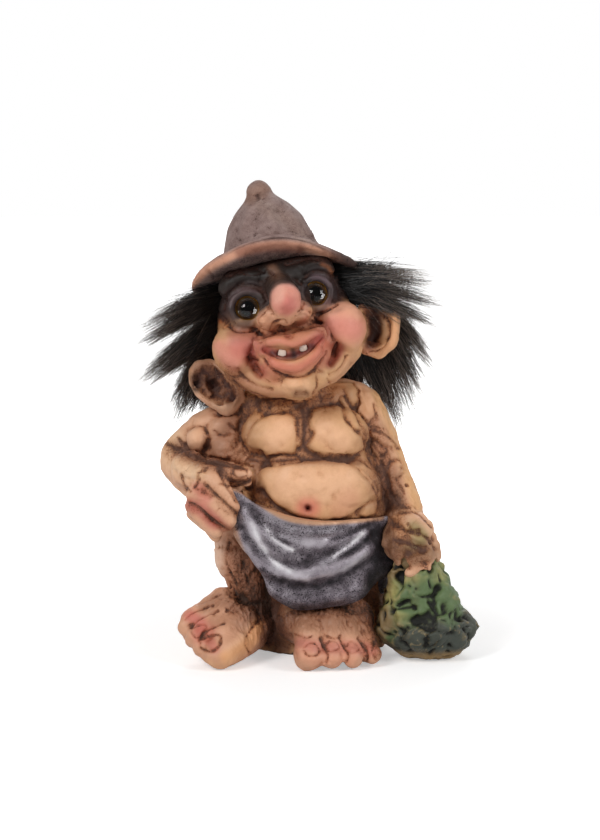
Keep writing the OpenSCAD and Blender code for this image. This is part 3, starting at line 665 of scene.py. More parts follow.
arm_lines = [
    # parts, kind, width, height, path
    (RIGHT_ARM, "crease", 2.6, -1.8, [(166, 443), (178, 449), (190, 455), (204, 460), (222, 464),
        (240, 465)]),
    (RIGHT_ARM, "crease", 1.8, -1.2, [(178, 437), (183, 444), (190, 452), (198, 456), (206, 449),
        (210, 438), (206, 430)]),
    (RIGHT_ARM, "crease", 1.6, -1.0, [(181, 474), (184, 484), (191, 492)]),
    (RIGHT_ARM, "crease", 1.8, -1.4, [(206, 469), (198, 474), (198, 482), (194, 488)]),
    (RIGHT_ARM, "crease", 1.6, -0.9, [(224, 408), (230, 414), (238, 412)]),
    (RIGHT_ARM, "crease", 1.6, -0.9, [(228, 424), (238, 430), (240, 420)]),
    (RIGHT_ARM, "crease", 1.4, -0.8, [(214, 430), (222, 436), (230, 434)]),
    (RIGHT_ARM, "crease", 1.8, -1.6, [(205, 484), (216, 495), (228, 506), (238, 514)]),
    (RIGHT_ARM, "crease", 1.8, -1.6, [(190, 502), (201, 509), (212, 519), (228, 529)]),
    (RIGHT_ARM, "crease", 1.8, -1.6, [(218, 470), (224, 482), (232, 494), (238, 502)]),
    (RIGHT_ARM, "crease", 1.4, -1.0, [(220, 484), (232, 486), (246, 483), (254, 476)]),
    (RIGHT_ARM, "soft", 1.1, -0.5, [(222, 500), (228, 493)]),
    (RIGHT_ARM, "soft", 1.1, -0.5, [(225, 503), (231, 496)]),
    (RIGHT_ARM, "soft", 1.1, -0.5, [(215, 514), (220, 507)]),
    (RIGHT_ARM, "soft", 1.1, -0.4, [(210, 488), (217, 483)]),
    (RIGHT_ARM, "crease", 1.0, -0.7, [(233, 473), (235, 468), (241, 468), (247, 471), (245, 477),
        (238, 478), (234, 474)]),
    (RIGHT_ARM, "soft", 3.0, 0.5, [(196, 494), (202, 500)]),
    (LEFT_ARM, "crease", 1.4, -1.2, [(373, 403), (375, 412), (378, 420)]),
    (LEFT_ARM, "crease", 1.8, -1.3, [(372, 430), (384, 434), (394, 443), (399, 449)]),
    (LEFT_ARM, "crease", 1.8, -1.4, [(366, 438), (374, 446), (382, 456), (386, 452)]),
    (LEFT_ARM, "crease", 1.8, -1.2, [(380, 460), (386, 474), (390, 490), (398, 504), (410, 508)]),
    (LEFT_ARM, "soft", 2.2, -1.2, [(400, 466), (402, 470)]),
    (LEFT_ARM, "soft", 2.0, -1.0, [(407, 483), (408, 487)]),
    (LEFT_ARM, "soft", 2.0, -1.0, [(393, 478), (392, 484)]),
    (LEFT_ARM, "soft", 1.6, -0.9, [(398, 490), (400, 494)]),
    (LEFT_ARM, "crease", 1.6, -1.3, [(400, 514), (412, 512), (420, 516), (432, 528)]),
    (LEFT_ARM, "crease", 1.8, -1.6, [(396, 526), (404, 530), (414, 533), (424, 536), (432, 544)]),
    (LEFT_ARM, "crease", 1.8, -1.5, [(394, 540), (404, 541), (414, 546), (424, 552)]),
    (LEFT_ARM, "crease", 1.6, -1.2, [(408, 524), (412, 530), (420, 530)]),
]
for parts, kind, width, height, path in arm_lines:
    skin.stroke(path, width, height * 0.75, parts, kind=kind)
skin.look()
print("arm plates", len(arm_plates), "lines", len(arm_lines))

# %% [markdown]
# The feet are broad, with four blunt toes each. A nail is an oval cut into the clay with a crease, and
# the fur of the shins is scratched in later.

# %% Feet, legs and ears
foot_lines = [
    (RIGHT_FOOT, "crease", 1.5, -1.3, [(201, 640), (208, 636), (220, 635), (220, 643), (214, 650),
        (206, 651), (200, 647), (201, 641)]),
    (RIGHT_FOOT, "crease", 1.4, -1.2, [(190, 629), (197, 625), (206, 625), (205, 631), (198, 638),
        (193, 636), (190, 630)]),
    (RIGHT_FOOT, "crease", 1.8, -1.5, [(198, 642), (206, 632), (216, 626), (226, 622)]),
    (RIGHT_FOOT, "soft", 1.6, -1.3, [(188, 628), (196, 620), (208, 614), (220, 610)]),
    (RIGHT_FOOT, "soft", 1.4, -1.0, [(184, 620), (192, 613), (204, 608), (214, 604)]),
    (RIGHT_FOOT, "soft", 1.4, -0.9, [(196, 604), (208, 600), (222, 592)]),
    (RIGHT_FOOT, "crease", 2.0, -1.3, [(226, 592), (238, 600), (252, 604), (266, 602)]),
    (RIGHT_FOOT, "soft", 1.6, -0.9, [(226, 606), (228, 612)]),
    (RIGHT_FOOT, "soft", 1.6, -0.8, [(213, 612), (216, 616)]),
    (RIGHT_FOOT, "crease", 1.6, -1.0, [(250, 655), (246, 642), (252, 628), (262, 618)]),
    (RIGHT_FOOT, "crease", 1.8, -1.1, [(230, 540), (226, 556), (230, 572), (238, 586)]),
    (RIGHT_FOOT, "crease", 1.8, -0.9, [(244, 560), (246, 576), (254, 590)]),
    (RIGHT_FOOT, "soft", 6.0, 0.9, [(219, 548), (218, 566), (222, 578)]),
    (LEFT_FOOT, "crease", 1.4, -1.3, [(303, 648), (308, 643), (315, 643), (320, 648), (318, 655),
        (308, 656), (303, 650)]),
    (LEFT_FOOT, "crease", 1.3, -1.1, [(325, 645), (330, 641), (338, 642), (340, 648), (332, 650),
        (326, 649)]),
    (LEFT_FOOT, "crease", 1.3, -1.1, [(346, 647), (350, 641), (358, 644), (360, 649), (352, 652),
        (346, 650)]),
    (LEFT_FOOT, "crease", 1.9, -1.7, [(320, 636), (324, 645), (327, 655), (326, 664)]),
    (LEFT_FOOT, "crease", 1.9, -1.7, [(340, 636), (344, 646), (347, 655), (346, 664)]),
    (LEFT_FOOT, "crease", 1.9, -1.6, [(358, 636), (364, 645), (367, 654), (366, 663)]),
    (LEFT_FOOT, "crease", 1.4, -0.9, [(294, 634), (304, 637), (312, 636)]),
    (LEFT_FOOT, "crease", 1.4, -0.8, [(326, 636), (336, 638), (342, 634)]),
    (LEFT_FOOT, "crease", 1.4, -0.8, [(296, 652), (298, 660)]),
    (LEFT_FOOT, "crease", 1.6, -1.0, [(376, 640), (372, 650), (376, 660)]),
    (LEFT_EAR, "crease", 2.2, -1.4, [(380, 312), (388, 322), (388, 338), (380, 350), (368, 354)]),
    (LEFT_EAR, "soft", 4.5, -2.4, [(374, 316), (376, 330), (372, 342)]),
    (LEFT_EAR, "soft", 3.0, 0.9, [(391, 312), (396, 326), (392, 344), (380, 357), (366, 360)]),
    (LEFT_EAR, "crease", 1.8, -1.0, [(360, 350), (366, 356), (366, 364)]),
    (RIGHT_EAR, "soft", 3.0, -2.6, [(196, 380), (198, 388)]),
    (RIGHT_EAR, "soft", 3.4, -2.6, [(210, 380), (215, 388)]),
    (RIGHT_EAR, "soft", 2.6, 1.2, [(204, 374), (205, 388), (212, 396)]),
    (RIGHT_EAR, "crease", 2.0, -1.5, [(192, 386), (200, 396), (212, 402), (224, 404)]),
    (RIGHT_EAR, "soft", 4.0, -1.6, [(228, 396), (236, 400)]),
    (RIGHT_EAR, "soft", 2.6, 1.0, [(218, 378), (224, 388), (220, 396)]),
]
for parts, kind, width, height, path in foot_lines:
    skin.stroke(path, width, height, parts, kind=kind)
skin.look()
print("foot and ear lines", len(foot_lines))

# %% [markdown]
# The painter lays flesh tan everywhere, then rose on the cheeks, the nose's tip, the lips, the
# knuckles and the toes, lilac-grey on the lids, and near-black on the brows and forehead, which is
# dark paint and also painted shade under the brim of the hat. Painted highlights go on the lid rolls,
# the ball of the nose, the upper lip and the right knee, and painted shade goes between the feet,
# beside the arms, under the chin, under the tunic and in the gap between the teeth. Each stroke is
# mixed one by one. What the photograph doesn't show gets an even blend of its surroundings.

# %% Paint on the skin
brush = [
    # colour, strength, radius, parts, path and, for a brush with a sharp edge, how sharp
    (LIGHT, 0.9, 14, BODY, [(276, 438), (282, 430)]),
    (LIGHT, 0.8, 14, BODY, [(326, 432), (340, 440)]),
    (LIGHT, 0.9, 22, BODY, [(290, 484), (340, 484)]),
    (LIGHT, 0.6, 9, HEAD, [(286, 386), (304, 388)]),
    ((240, 200, 162), 0.9, 12, RIGHT_ARM, [(172, 440), (170, 452), (180, 466), (196, 472)]),
    (LIGHT, 0.5, 6, RIGHT_ARM, [(197, 434), (198, 444)]),
    ((236, 184, 128), 0.8, 8, LEFT_ARM, [(378, 392), (392, 424), (404, 456), (414, 490), (418, 505)]),
    ((226, 168, 122), 0.8, 10, LEFT_ARM, [(360, 396), (368, 408)]),
    (LIGHT, 0.9, 9, RIGHT_FOOT, [(232, 655), (246, 640), (258, 622)]),
    # painted highlight on the outer edge of the right knee
    ((232, 196, 172), 0.9, 8, RIGHT_FOOT, [(217, 546), (217, 572)]),
    ((168, 122, 98), 0.9, 26, RIGHT_FOOT, [(252, 556), (257, 600), (274, 632)]),
    ((150, 106, 80), 0.85, 16, LEFT_FOOT, [(296, 612), (350, 612), (376, 620)]),
    # painted shade under the tunic's hem
    ((150, 106, 82), 0.8, 26, BODY, [(280, 600), (380, 600)]),
    # painted shade on the flank beside the right arm
    ((172, 124, 92), 0.55, 20, BODY, [(232, 400), (240, 440), (244, 470)]),
    # painted shade on the chest under the chin
    ((180, 130, 96), 0.5, 16, BODY, [(300, 398), (340, 396)]),
    # painted shade on the flank beside the left arm
    ((178, 130, 98), 0.55, 16, BODY, [(374, 440), (382, 500)]),
    ((146, 102, 78), 0.75, 5, BODY, [(302, 408), (305, 430), (305, 450)]),
    ((150, 106, 82), 0.7, 5, BODY, [(246, 458), (262, 461), (300, 460), (340, 460), (358, 462)]),
    ((150, 106, 82), 0.7, 6, BODY, [(256, 466), (252, 480), (264, 496)]),
    # painted shade between the tunic's side and the left arm
    ((112, 78, 60), 0.8, 12, BODY + LEFT_ARM, [(388, 480), (392, 510), (388, 560)]),
    ((136, 96, 76), 0.6, 9, RIGHT_ARM, [(180, 448), (204, 459), (226, 462)]),
    ((134, 96, 76), 0.6, 10, RIGHT_ARM, [(222, 402), (230, 424), (214, 452)]),
    ((146, 112, 82), 0.85, 12, LEFT_ARM, [(400, 540), (412, 552), (428, 550)]),
    ((120, 110, 70), 0.6, 7, LEFT_ARM, [(416, 528), (424, 536), (412, 546)]),
    # painted shade on the inner side of the left wrist
    ((128, 96, 70), 0.7, 9, LEFT_ARM, [(396, 500), (398, 530)]),
    ((236, 190, 152), 0.7, 6, LEFT_ARM, [(430, 522), (434, 540)]),
    # painted shadow between the feet
    ((96, 66, 52), 0.85, 16, RIGHT_FOOT + BODY + LEFT_FOOT, [(262, 600), (272, 620), (282, 646)]),
    ((232, 170, 118), 0.8, 7, RIGHT_FOOT, [(226, 658), (246, 646), (258, 626)]),
    # painted shade on the inner sides of both arms, next to the body
    ((176, 126, 98), 0.6, 16, RIGHT_ARM, [(224, 404), (222, 440), (212, 452)]),
    ((182, 130, 96), 0.55, 14, LEFT_ARM, [(374, 430), (390, 480)]),
    ((206, 168, 134), 0.5, 12, LEFT_ARM, [(404, 520), (412, 532)]),
    # cheeks
    ((206, 116, 106), 0.85, 17, HEAD, [(238, 350), (247, 346)]),
    ((226, 142, 126), 0.9, 18, HEAD, [(334, 322), (352, 328)]),
    ((226, 150, 130), 0.8, 7, HEAD, [(218, 346), (224, 356), (234, 366)]),
    ((240, 176, 146), 0.5, 7, HEAD, [(336, 312), (350, 312)]),
    ((176, 104, 96), 0.5, 9, HEAD, [(238, 336), (254, 336)]),
    ((186, 116, 104), 0.5, 8, HEAD, [(318, 322), (330, 336)]),
    # brows and forehead, in dark paint and painted shade under the hat's brim, and the dark round the nose
    (DARK_PAINT_AND_SHADE, 0.97, 17, FACE, [(203, 304), (214, 284), (238, 268), (264, 268)]),
    (DARK_PAINT_AND_SHADE, 0.97, 15, FACE, [(262, 258), (300, 258), (330, 258), (352, 275)]),
    (DARK_PAINT_AND_SHADE, 0.97, 11, FACE, [(236, 276), (262, 276), (268, 290), (266, 304)]),
    (DARK_PAINT_AND_SHADE, 0.97, 9, FACE, [(296, 270), (316, 266), (338, 274), (346, 286), (352, 294)]),
    (DARK_PAINT_AND_SHADE, 0.85, 9, FACE, [(212, 300), (216, 318)]),
    ((74, 54, 50), 0.9, 6, FACE, [(268, 292), (263, 308)]),
    ((110, 74, 60), 0.8, 4, FACE, [(304, 290), (308, 300)]),
    # lids and pouches
    ((60, 46, 46), 0.95, 8, FACE, [(228, 310), (233, 296), (248, 288), (262, 292), (268, 306)]),
    # painted highlight along the lid's roll
    ((106, 86, 86), 0.8, 3, FACE, [(229, 304), (236, 293), (250, 289), (260, 292)]),
    ((60, 46, 48), 0.95, 8, FACE, [(299, 294), (305, 280), (320, 276), (333, 284), (338, 302)]),
    # painted highlight along the lid's roll
    ((104, 86, 92), 0.8, 3, FACE, [(302, 288), (308, 280), (320, 277), (331, 284)]),
    ((88, 66, 60), 0.85, 6, FACE, [(228, 318), (240, 325), (262, 321)]),
    ((82, 62, 62), 0.85, 6, FACE, [(302, 304), (316, 311), (334, 306)]),
    ((190, 124, 96), 0.6, 6, FACE, [(232, 333), (248, 335), (262, 330)]),
    ((196, 116, 66), 0.7, 2.2, FACE, [(220, 322), (226, 326)]),
    # nose
    (DARK_PAINT_AND_SHADE, 0.9, 14, NOSE, [(262, 280), (276, 272), (296, 270), (306, 282)]),
    ((150, 108, 92), 0.8, 4, HEAD, [(258, 314), (255, 322)]),
    ((226, 166, 132), 0.95, 9, HEAD, [(264, 322), (271, 314)]),
    ((214, 150, 122), 0.95, 7, HEAD, [(302, 306), (305, 313)]),
    ((58, 40, 33), 0.9, 5, HEAD, [(265, 286), (264, 296), (263, 306)]),
    ((58, 42, 36), 0.9, 6, HEAD, [(270, 281), (284, 276), (299, 281)]),
    ((228, 152, 132), 1.0, 15.5, HEAD, [(286, 299), (286, 302)], 8.0),
    ((206, 114, 104), 0.75, 8, NOSE, [(288, 303), (289, 309)]),
    # painted highlight on the ball of the nose
    ((240, 180, 158), 0.7, 6, NOSE, [(280, 290), (278, 298)]),
    ((160, 84, 64), 0.85, 5, HEAD, [(293, 325), (305, 321)]),
    ((176, 116, 90), 0.7, 5, HEAD, [(270, 329), (284, 326)]),
    (DARK_PAINT_AND_SHADE, 0.85, 9, HEAD, [(284, 268), (296, 272), (304, 280)]),
    ((140, 104, 84), 0.6, 5, HEAD, [(272, 268), (277, 276)]),
    ((160, 98, 56), 0.7, 2, FACE, [(322, 264), (328, 267), (332, 273)]),
    ((228, 164, 134), 0.9, 4, HEAD, [(320, 320), (330, 311), (343, 305), (353, 308), (358, 316)]),
    ((150, 98, 74), 0.55, 3.5, HEAD, [(262, 340), (272, 334), (282, 332)]),
    ((150, 98, 74), 0.5, 3.5, HEAD, [(298, 332), (312, 327), (322, 325)]),
    ((222, 168, 136), 0.7, 5, HEAD, [(268, 312), (277, 318), (290, 319), (301, 312)]),
    # mouth
    ((196, 122, 98), 0.75, 9, HEAD, [(268, 342), (280, 338), (292, 340), (306, 337), (320, 332)]),
    # painted highlight along the upper lip
    ((214, 134, 110), 0.8, 3, HEAD, [(270, 343), (281, 341), (292, 345), (304, 341), (316, 335)]),
    ((210, 122, 100), 0.9, 7, HEAD, [(270, 362), (281, 367), (294, 369), (306, 365), (318, 355),
        (324, 345)]),
    ((156, 66, 56), 0.95, 5.5, HEAD, [(264, 350), (274, 353), (284, 355), (296, 354), (308, 348),
        (320, 338)]),
    ((84, 30, 26), 0.95, 3.4, HEAD, [(272, 353), (284, 356), (292, 356), (304, 351), (312, 346)]),
    # painted shade in the gap between the teeth
    ((40, 14, 14), 0.9, 3, HEAD, [(293, 351), (294, 357)]),
    ((150, 74, 60), 0.7, 4, HEAD, [(287, 330), (288, 336)]),
    ((146, 60, 48), 0.9, 7, HEAD, [(250, 352), (254, 364), (261, 372)]),
    ((140, 50, 40), 0.9, 6, HEAD, [(334, 347), (340, 348), (335, 357), (330, 363)]),
    ((190, 104, 84), 0.6, 8, HEAD, [(264, 372), (274, 377)]),
    ((190, 108, 88), 0.6, 7, HEAD, [(320, 364), (328, 354)]),
    ((180, 122, 96), 0.6, 9, HEAD, [(236, 374), (256, 390), (280, 400)]),
    ((188, 130, 100), 0.5, 8, HEAD, [(352, 362), (340, 380), (318, 398)]),
    ((120, 80, 58), 0.5, 5, HEAD, [(296, 394), (306, 394)]),
    # ears
    ((196, 120, 96), 0.7, 14, LEFT_EAR, [(362, 312), (366, 336), (362, 350)]),
    ((70, 36, 24), 0.95, 8, LEFT_EAR, [(375, 314), (376, 330), (370, 342)]),
    ((230, 170, 124), 0.9, 5, LEFT_EAR, [(394, 308), (396, 330), (389, 348), (374, 358)]),
    ((134, 94, 70), 0.85, 15, RIGHT_EAR, [(200, 378), (216, 386), (222, 396)]),
    ((150, 106, 80), 0.9, 7, RIGHT_EAR, [(205, 366), (220, 372), (231, 386), (234, 398)]),
    ((220, 174, 140), 0.8, 4, RIGHT_EAR, [(190, 372), (192, 386), (204, 397), (222, 405)]),
    ((60, 34, 24), 0.9, 5, RIGHT_EAR, [(195, 378), (196, 388)]),
    ((60, 34, 24), 0.9, 5, RIGHT_EAR, [(209, 380), (214, 388)]),
    # belly, knuckles, toes
    ((214, 110, 92), 0.75, 11, BODY, [(306, 508), (310, 508)]),
    ((120, 54, 46), 1.0, 4, BODY, [(308, 508)]),
    ((206, 130, 104), 0.35, 12, BODY, [(350, 500), (340, 510)]),
    ((206, 112, 100), 0.8, 8, RIGHT_ARM, [(190, 505), (202, 510), (214, 522)]),
    ((214, 128, 112), 0.7, 7, RIGHT_ARM, [(198, 488), (206, 498)]),
    ((196, 116, 100), 0.5, 6, RIGHT_ARM, [(214, 520), (228, 530)]),
    ((226, 176, 144), 0.6, 6, RIGHT_ARM, [(236, 472), (248, 474)]),
    ((150, 138, 84), 0.6, 8, LEFT_ARM, [(412, 528), (420, 536)]),
    ((226, 170, 124), 0.6, 8, LEFT_ARM, [(398, 520), (402, 534)]),
    ((204, 108, 96), 0.8, 7, RIGHT_FOOT, [(190, 616), (200, 622)]),
    ((206, 118, 102), 0.7, 9, RIGHT_FOOT, [(208, 630), (200, 636)]),
    ((150, 104, 78), 0.6, 9, RIGHT_FOOT, [(206, 606), (222, 600), (238, 606)]),
    ((168, 118, 90), 0.5, 7, RIGHT_FOOT, [(214, 622), (228, 618), (240, 622)]),
    ((232, 178, 132), 0.7, 5, RIGHT_FOOT, [(206, 662), (220, 668), (236, 660)]),
    ((156, 108, 80), 0.5, 8, LEFT_FOOT, [(300, 624), (330, 626), (366, 628)]),
    ((190, 96, 82), 0.7, 6, RIGHT_FOOT, [(210, 642), (214, 648)]),
    ((190, 96, 82), 0.6, 5, RIGHT_FOOT, [(197, 630), (202, 630)]),
    ((206, 124, 110), 0.7, 8, LEFT_FOOT, [(302, 644), (318, 647), (336, 648), (354, 648), (372, 650)]),
    ((226, 160, 130), 0.6, 6, LEFT_FOOT, [(300, 652), (312, 660), (330, 660), (352, 660)]),
]
for parts, colour in ((RIGHT_ARM + LEFT_ARM, (226, 176, 142)), (RIGHT_FOOT + LEFT_FOOT, (218, 164, 132)),
                      (RIGHT_EAR, (222, 174, 142))):
    skin.colour[np.isin(skin.part, parts)] = paint(*colour)
# The brows, the eye sockets and the forehead start near-black: dark paint, and painted shade under the hat's
# brim.
brow = (skin.member[:, HEAD].sum(1) > 0.5) & (skin.at[:, 1] < 326 - 0.17 * (skin.at[:, 0] - 200))
skin.colour[brow] = paint(58, 41, 34)
for colour, strength, radius, parts, path, *soft in brush:
    skin.tint(path, radius, colour, strength, parts, *soft)
skin.colour = skin.evened(skin.colour, 2)
hidden = skin.evened((~skin.seen).astype(float), 8)[:, None]
skin.colour += hidden * (skin.evened(skin.colour, 40) - skin.colour)
print("brushed", len(brush), "strokes")

# %% [markdown]
# First the last relief: scratched fur, the spine and shoulder blades, and a fine unevenness. Under
# the tunic the body is drawn in. Then the dark wash collects in hollows, and painted shade is brushed
# where other parts shade the skin. A hollow is where the surface lies below its own average, so the
# average is taken over a small, a middling and a large neighbourhood; the large one darkens broad
# hollows as painted shade.

# %% Relief and wash
scratched = [
    # fur scratched in the clay: parts, direction of the strands, depth, path, radius
    (RIGHT_FOOT, (0.15, -0.3, -1), 0.55, [(240, 545), (246, 585), (262, 620)], 26),
    (LEFT_FOOT, (0.1, -0.5, -1), 0.5, [(300, 612), (340, 615), (370, 618)], 20),
    (RIGHT_FOOT, (-0.5, -0.6, -0.6), 0.4, [(215, 600), (245, 606)], 16),
    (LEFT_ARM, (0.4, -0.2, -1), 0.3, [(372, 400), (384, 450), (400, 500)], 22),
    (RIGHT_ARM, (0.9, -0.3, -0.2), 0.25, [(180, 470), (206, 452), (230, 440)], 24),
    (BODY, (0.5, 0.0, -1), 0.2, [(240, 420), (246, 460)], 16),
    (BODY, (-0.2, 0, -1), 0.2, [(375, 450), (380, 500)], 16),
]
for parts, way, deep, path, radius in scratched:
    i, d, t = skin.near(path, radius * 1.6, parts)
    lines = hair_noise(skin.p[i], way, 1.0, 9) + 0.6 * hair_noise(skin.p[i] + 40, way, 0.7, 6)
    skin.push(i, deep * (np.abs(lines) * 1.6 - 0.7) * bell(d, radius, 4))
x, y, z = skin.p.T
body, left_hand = skin.member[:, 4], skin.member[:, 8]
rugged = 1 - 0.75 * skin.member[:, HEAD].sum(1)
rear = smooth_step(y, 3, 12) * body
blades = np.exp(-((np.abs(x + 1) - 13) / 6) ** 2 - ((z - 100) / 12) ** 2)
back = 1.3 * noise(skin.p / [9, 9, 12] + 6) - 1.8 * bell(x + 1, 2.6) + 1.6 * blades
relief = (left_hand * (1.1 * noise(skin.p / 3.4 + 4) - 0.2)
          + rear * (back + 0.5 * np.abs(noise(skin.p / 5)) + 0.2)
          + rugged * (0.36 * noise(skin.p / 4.6 + 2) + 0.12 * noise(skin.p / 2.3))
          + 0.08 * noise(skin.p / 2.3) + 0.09 * noise(skin.p / 1.1 + 9))
under = smooth_step(y, -2, 4) * smooth_step(z, 16, 24) * (1 - smooth_step(z, 56, 62)) * body
skin.p += skin.normal * (relief * (1 - under) - 1.6 * under)[:, None]
skin.look()


def wash_hollows_and_shade(clay, small, middle, large, start=0.1, full=1.0, patchy=0.25):
    """Darkens the hollows of the clay by their depth at three sizes and some drift: brown wash, and painted
    shade in broad hollows.
    """
    deep = 0
    for times, weight in ((4, small), (20, middle), (100, large)):
        below = np.einsum("ij,ij->i", clay.evened(clay.p, times) - clay.p, clay.normal)
        deep = deep + weight * below
    deep = deep + patchy * (noise(clay.p / 6.0) + noise(clay.p / 2.6 + 5) + 0.6 * noise(clay.p / 1.2 + 7))
    clay.dark = np.clip(clay.dark + smooth_step(deep, start, full), 0, 1)


wash_and_shade_strokes = [
    # brown wash in creases and hollows, and painted shade under the hat's brim, the hair, the chin and the
    # tunic, beside the arms and the club, and between the legs and feet
    # strength, radius, parts, path
    (0.85, 12, HEAD, [(228, 268), (262, 254), (300, 252), (340, 256), (356, 270)]),
    (0.6, 12, FACE, [(206, 296), (208, 322)]),
    (0.4, 7, FACE, [(266, 286), (266, 306)]),
    (0.5, 8, FACE, [(340, 280), (348, 292)]),
    (0.35, 14, HEAD, [(214, 372), (226, 382)]),
    (0.3, 16, (), [(228, 380), (250, 394), (290, 402), (330, 396)]),
    (0.6, 14, (), [(276, 590), (280, 640)]),
    (0.7, 12, (), [(368, 560), (376, 600), (380, 640)]),
    (0.6, 12, BODY, [(215, 385), (235, 400), (260, 404)]),
    (0.55, 12, BODY, [(228, 410), (234, 440), (236, 470)]),
    (0.5, 10, BODY, [(370, 436), (376, 470), (384, 505)]),
    (0.45, 9, BODY, [(262, 396), (290, 404), (330, 402)]),
    (0.4, 10, BODY, [(302, 408), (304, 450)]),
    (0.35, 10, BODY, [(250, 458), (300, 460), (350, 460)]),
    (0.6, 8, BODY, [(252, 488), (272, 508), (300, 522), (340, 524), (380, 520)]),
    (0.6, 10, RIGHT_ARM, [(170, 448), (200, 460), (236, 464)]),
    (0.4, 12, RIGHT_ARM, [(222, 404), (236, 420), (234, 448)]),
    (0.5, 10, LEFT_ARM, [(372, 430), (384, 452), (392, 500)]),
    (0.6, 14, LEFT_ARM, [(394, 506), (398, 548), (420, 558)]),
    (0.4, 8, RIGHT_ARM, [(205, 484), (236, 512)]),
    (0.4, 8, RIGHT_ARM, [(190, 504), (228, 530)]),
    (0.4, 12, RIGHT_EAR, [(196, 376), (214, 382), (212, 394)]),
    (0.3, 7, RIGHT_EAR, [(210, 366), (226, 376), (233, 392)]),
    (0.5, 7, LEFT_EAR, [(372, 318), (374, 344)]),
    (0.55, 22, RIGHT_FOOT, [(262, 560), (268, 600), (282, 640)]),
    (0.45, 12, RIGHT_FOOT, [(236, 560), (240, 596)]),
    (0.6, 10, LEFT_FOOT, [(290, 606), (340, 608), (376, 612)]),
    (0.5, 9, LEFT_FOOT, [(376, 620), (380, 652)]),
    (0.4, 8, RIGHT_FOOT, [(284, 650), (250, 662)]),
]
for strength, radius, parts, path in wash_and_shade_strokes:
    skin.brush_wash_and_shade(path, radius, strength * (1 if parts in (HEAD, FACE, RIGHT_EAR, LEFT_EAR) else 0.65), parts)
for parts, kind, width, height, path in arm_lines + foot_lines:
    if kind == "crease" and parts not in (LEFT_EAR, RIGHT_EAR):
        skin.brush_wash_and_shade(path, width * 0.9, 0.45 if parts in (RIGHT_ARM, LEFT_ARM) else 0.15, parts)
for table, share, parts in ((body_lines, 0.9, BODY), (face, 0.8, HEAD)):
    for kind, width, height, path in table:
        if kind == "crease":
            skin.brush_wash_and_shade(path, width * share, 0.3, parts)
skin.brush_wash_and_shade([(218, 464), (224, 474), (236, 482), (250, 480)], 3.5, 0.7, RIGHT_ARM)
skin.brush_wash_and_shade([(232, 474), (235, 468), (247, 470)], 1.8, 0.5, RIGHT_ARM)
unseen = ~skin.seen & (skin.p[:, 1] > 5)
skin.dark[unseen] += (0.2 + 0.22 * np.clip(noise(skin.p / 8 + 2) + 0.5 * noise(skin.p / 3), -0.6, 1))[unseen]
skin.colour[np.isin(skin.part, HEAD) & (skin.p[:, 1] > 14)] = paint(*DARK_PAINT_AND_SHADE)
wash_hollows_and_shade(skin, 0.8, 0.9, 0.34, -0.3, 1.5, 0.2)
wiped = [
    # radius, strength, path: where the wash is wiped off the dimples, lips and nose
    (8, 0.5, [(250, 352), (254, 364), (261, 372)]),
    (7, 0.5, [(334, 347), (340, 348), (335, 357), (330, 363)]),
    (6, 0.45, [(264, 350), (284, 356), (296, 355), (320, 338)]),
    (5, 0.4, [(302, 306), (305, 314), (296, 320)]),
]
for radius, strength, path in wiped:
    skin.brush_wash_and_shade(path, radius, -strength, HEAD)
skin.dark = np.clip(skin.evened(skin.dark, 1), 0, 1)
print("mean darkness", round(float(skin.dark.mean()), 2))

# %% [markdown]
# The hat is another casting: a floppy felt cone with a knob, a wavy brim with a rubbed tan edge, and
# long soft dents from the knob down to the brim.

# %% Hat
hat = Clay(wrapped("hat_skin", ["hat"], 0.6))
hat.p = hat.evened(hat.p, 22)
hat.colour[:] = paint(158, 136, 130)
hat.look()
hat_lines = [
    # kind, width, height, path
    ("soft", 3.0, -1.4, [(256, 192), (260, 200)]),
    ("soft", 2.6, -1.0, [(263, 196), (266, 203)]),
    ("soft", 4.0, 1.0, [(250, 206), (246, 222), (240, 240)]),
    ("soft", 5.0, -0.9, [(258, 208), (256, 224), (254, 240)]),
    ("soft", 4.5, 0.8, [(268, 208), (274, 222), (276, 238)]),
    ("soft", 5.0, -0.8, [(276, 208), (288, 222), (296, 238)]),
    ("soft", 4.5, 0.8, [(286, 210), (302, 224), (314, 240)]),
    ("soft", 3.6, -1.2, [(224, 258), (242, 248), (262, 242), (284, 240), (308, 244), (330, 254)]),
    ("soft", 6.0, 0.9, [(210, 270), (226, 262), (246, 255)]),
    ("soft", 5.0, -0.7, [(296, 250), (312, 256), (330, 262)]),
    ("soft", 5.0, 0.9, [(336, 258), (352, 266), (364, 276)]),
    ("crease", 1.6, -0.5, [(268, 256), (272, 262)]),
    ("crease", 1.6, -0.5, [(212, 272), (214, 280)]),
    ("crease", 1.4, -0.4, [(240, 214), (236, 232)]),
    ("crease", 1.4, -0.4, [(296, 216), (306, 234)]),
]
knob = bell(np.hypot(hat.at[:, 0] - 259, hat.at[:, 1] - 195), 16, 4)
hat.p += hat.normal * (1.0 * knob * smooth_step(hat.at[:, 1], 180, 190))[:, None]
hat.look()
for kind, width, height, path in hat_lines:
    hat.stroke(path, width, height, kind=kind)
uneven = 0.5 * noise(hat.p / 9) + 0.22 * noise(hat.p / 3 + 5) + 0.12 * noise(hat.p / 1.3 + 9)
hat.push(np.arange(hat.n), uneven)
hat.look()
brim = [(183, 294), (204, 272), (226, 259), (250, 249), (280, 245), (310, 249), (334, 259)]
hat_brush = [
    # colour, strength, radius, path
    ((160, 126, 108), 0.8, 10, [(250, 196), (262, 190)]),
    ((172, 150, 138), 0.5, 8, [(262, 206), (290, 222), (304, 240)]),
    ((214, 158, 130), 1.0, 5, brim + [(352, 272), (364, 284)]),
    ((136, 84, 68), 0.7, 6, [(240, 252), (270, 248), (300, 250)]),
    ((84, 60, 48), 0.7, 11, [(338, 262), (358, 274), (370, 290)]),
]
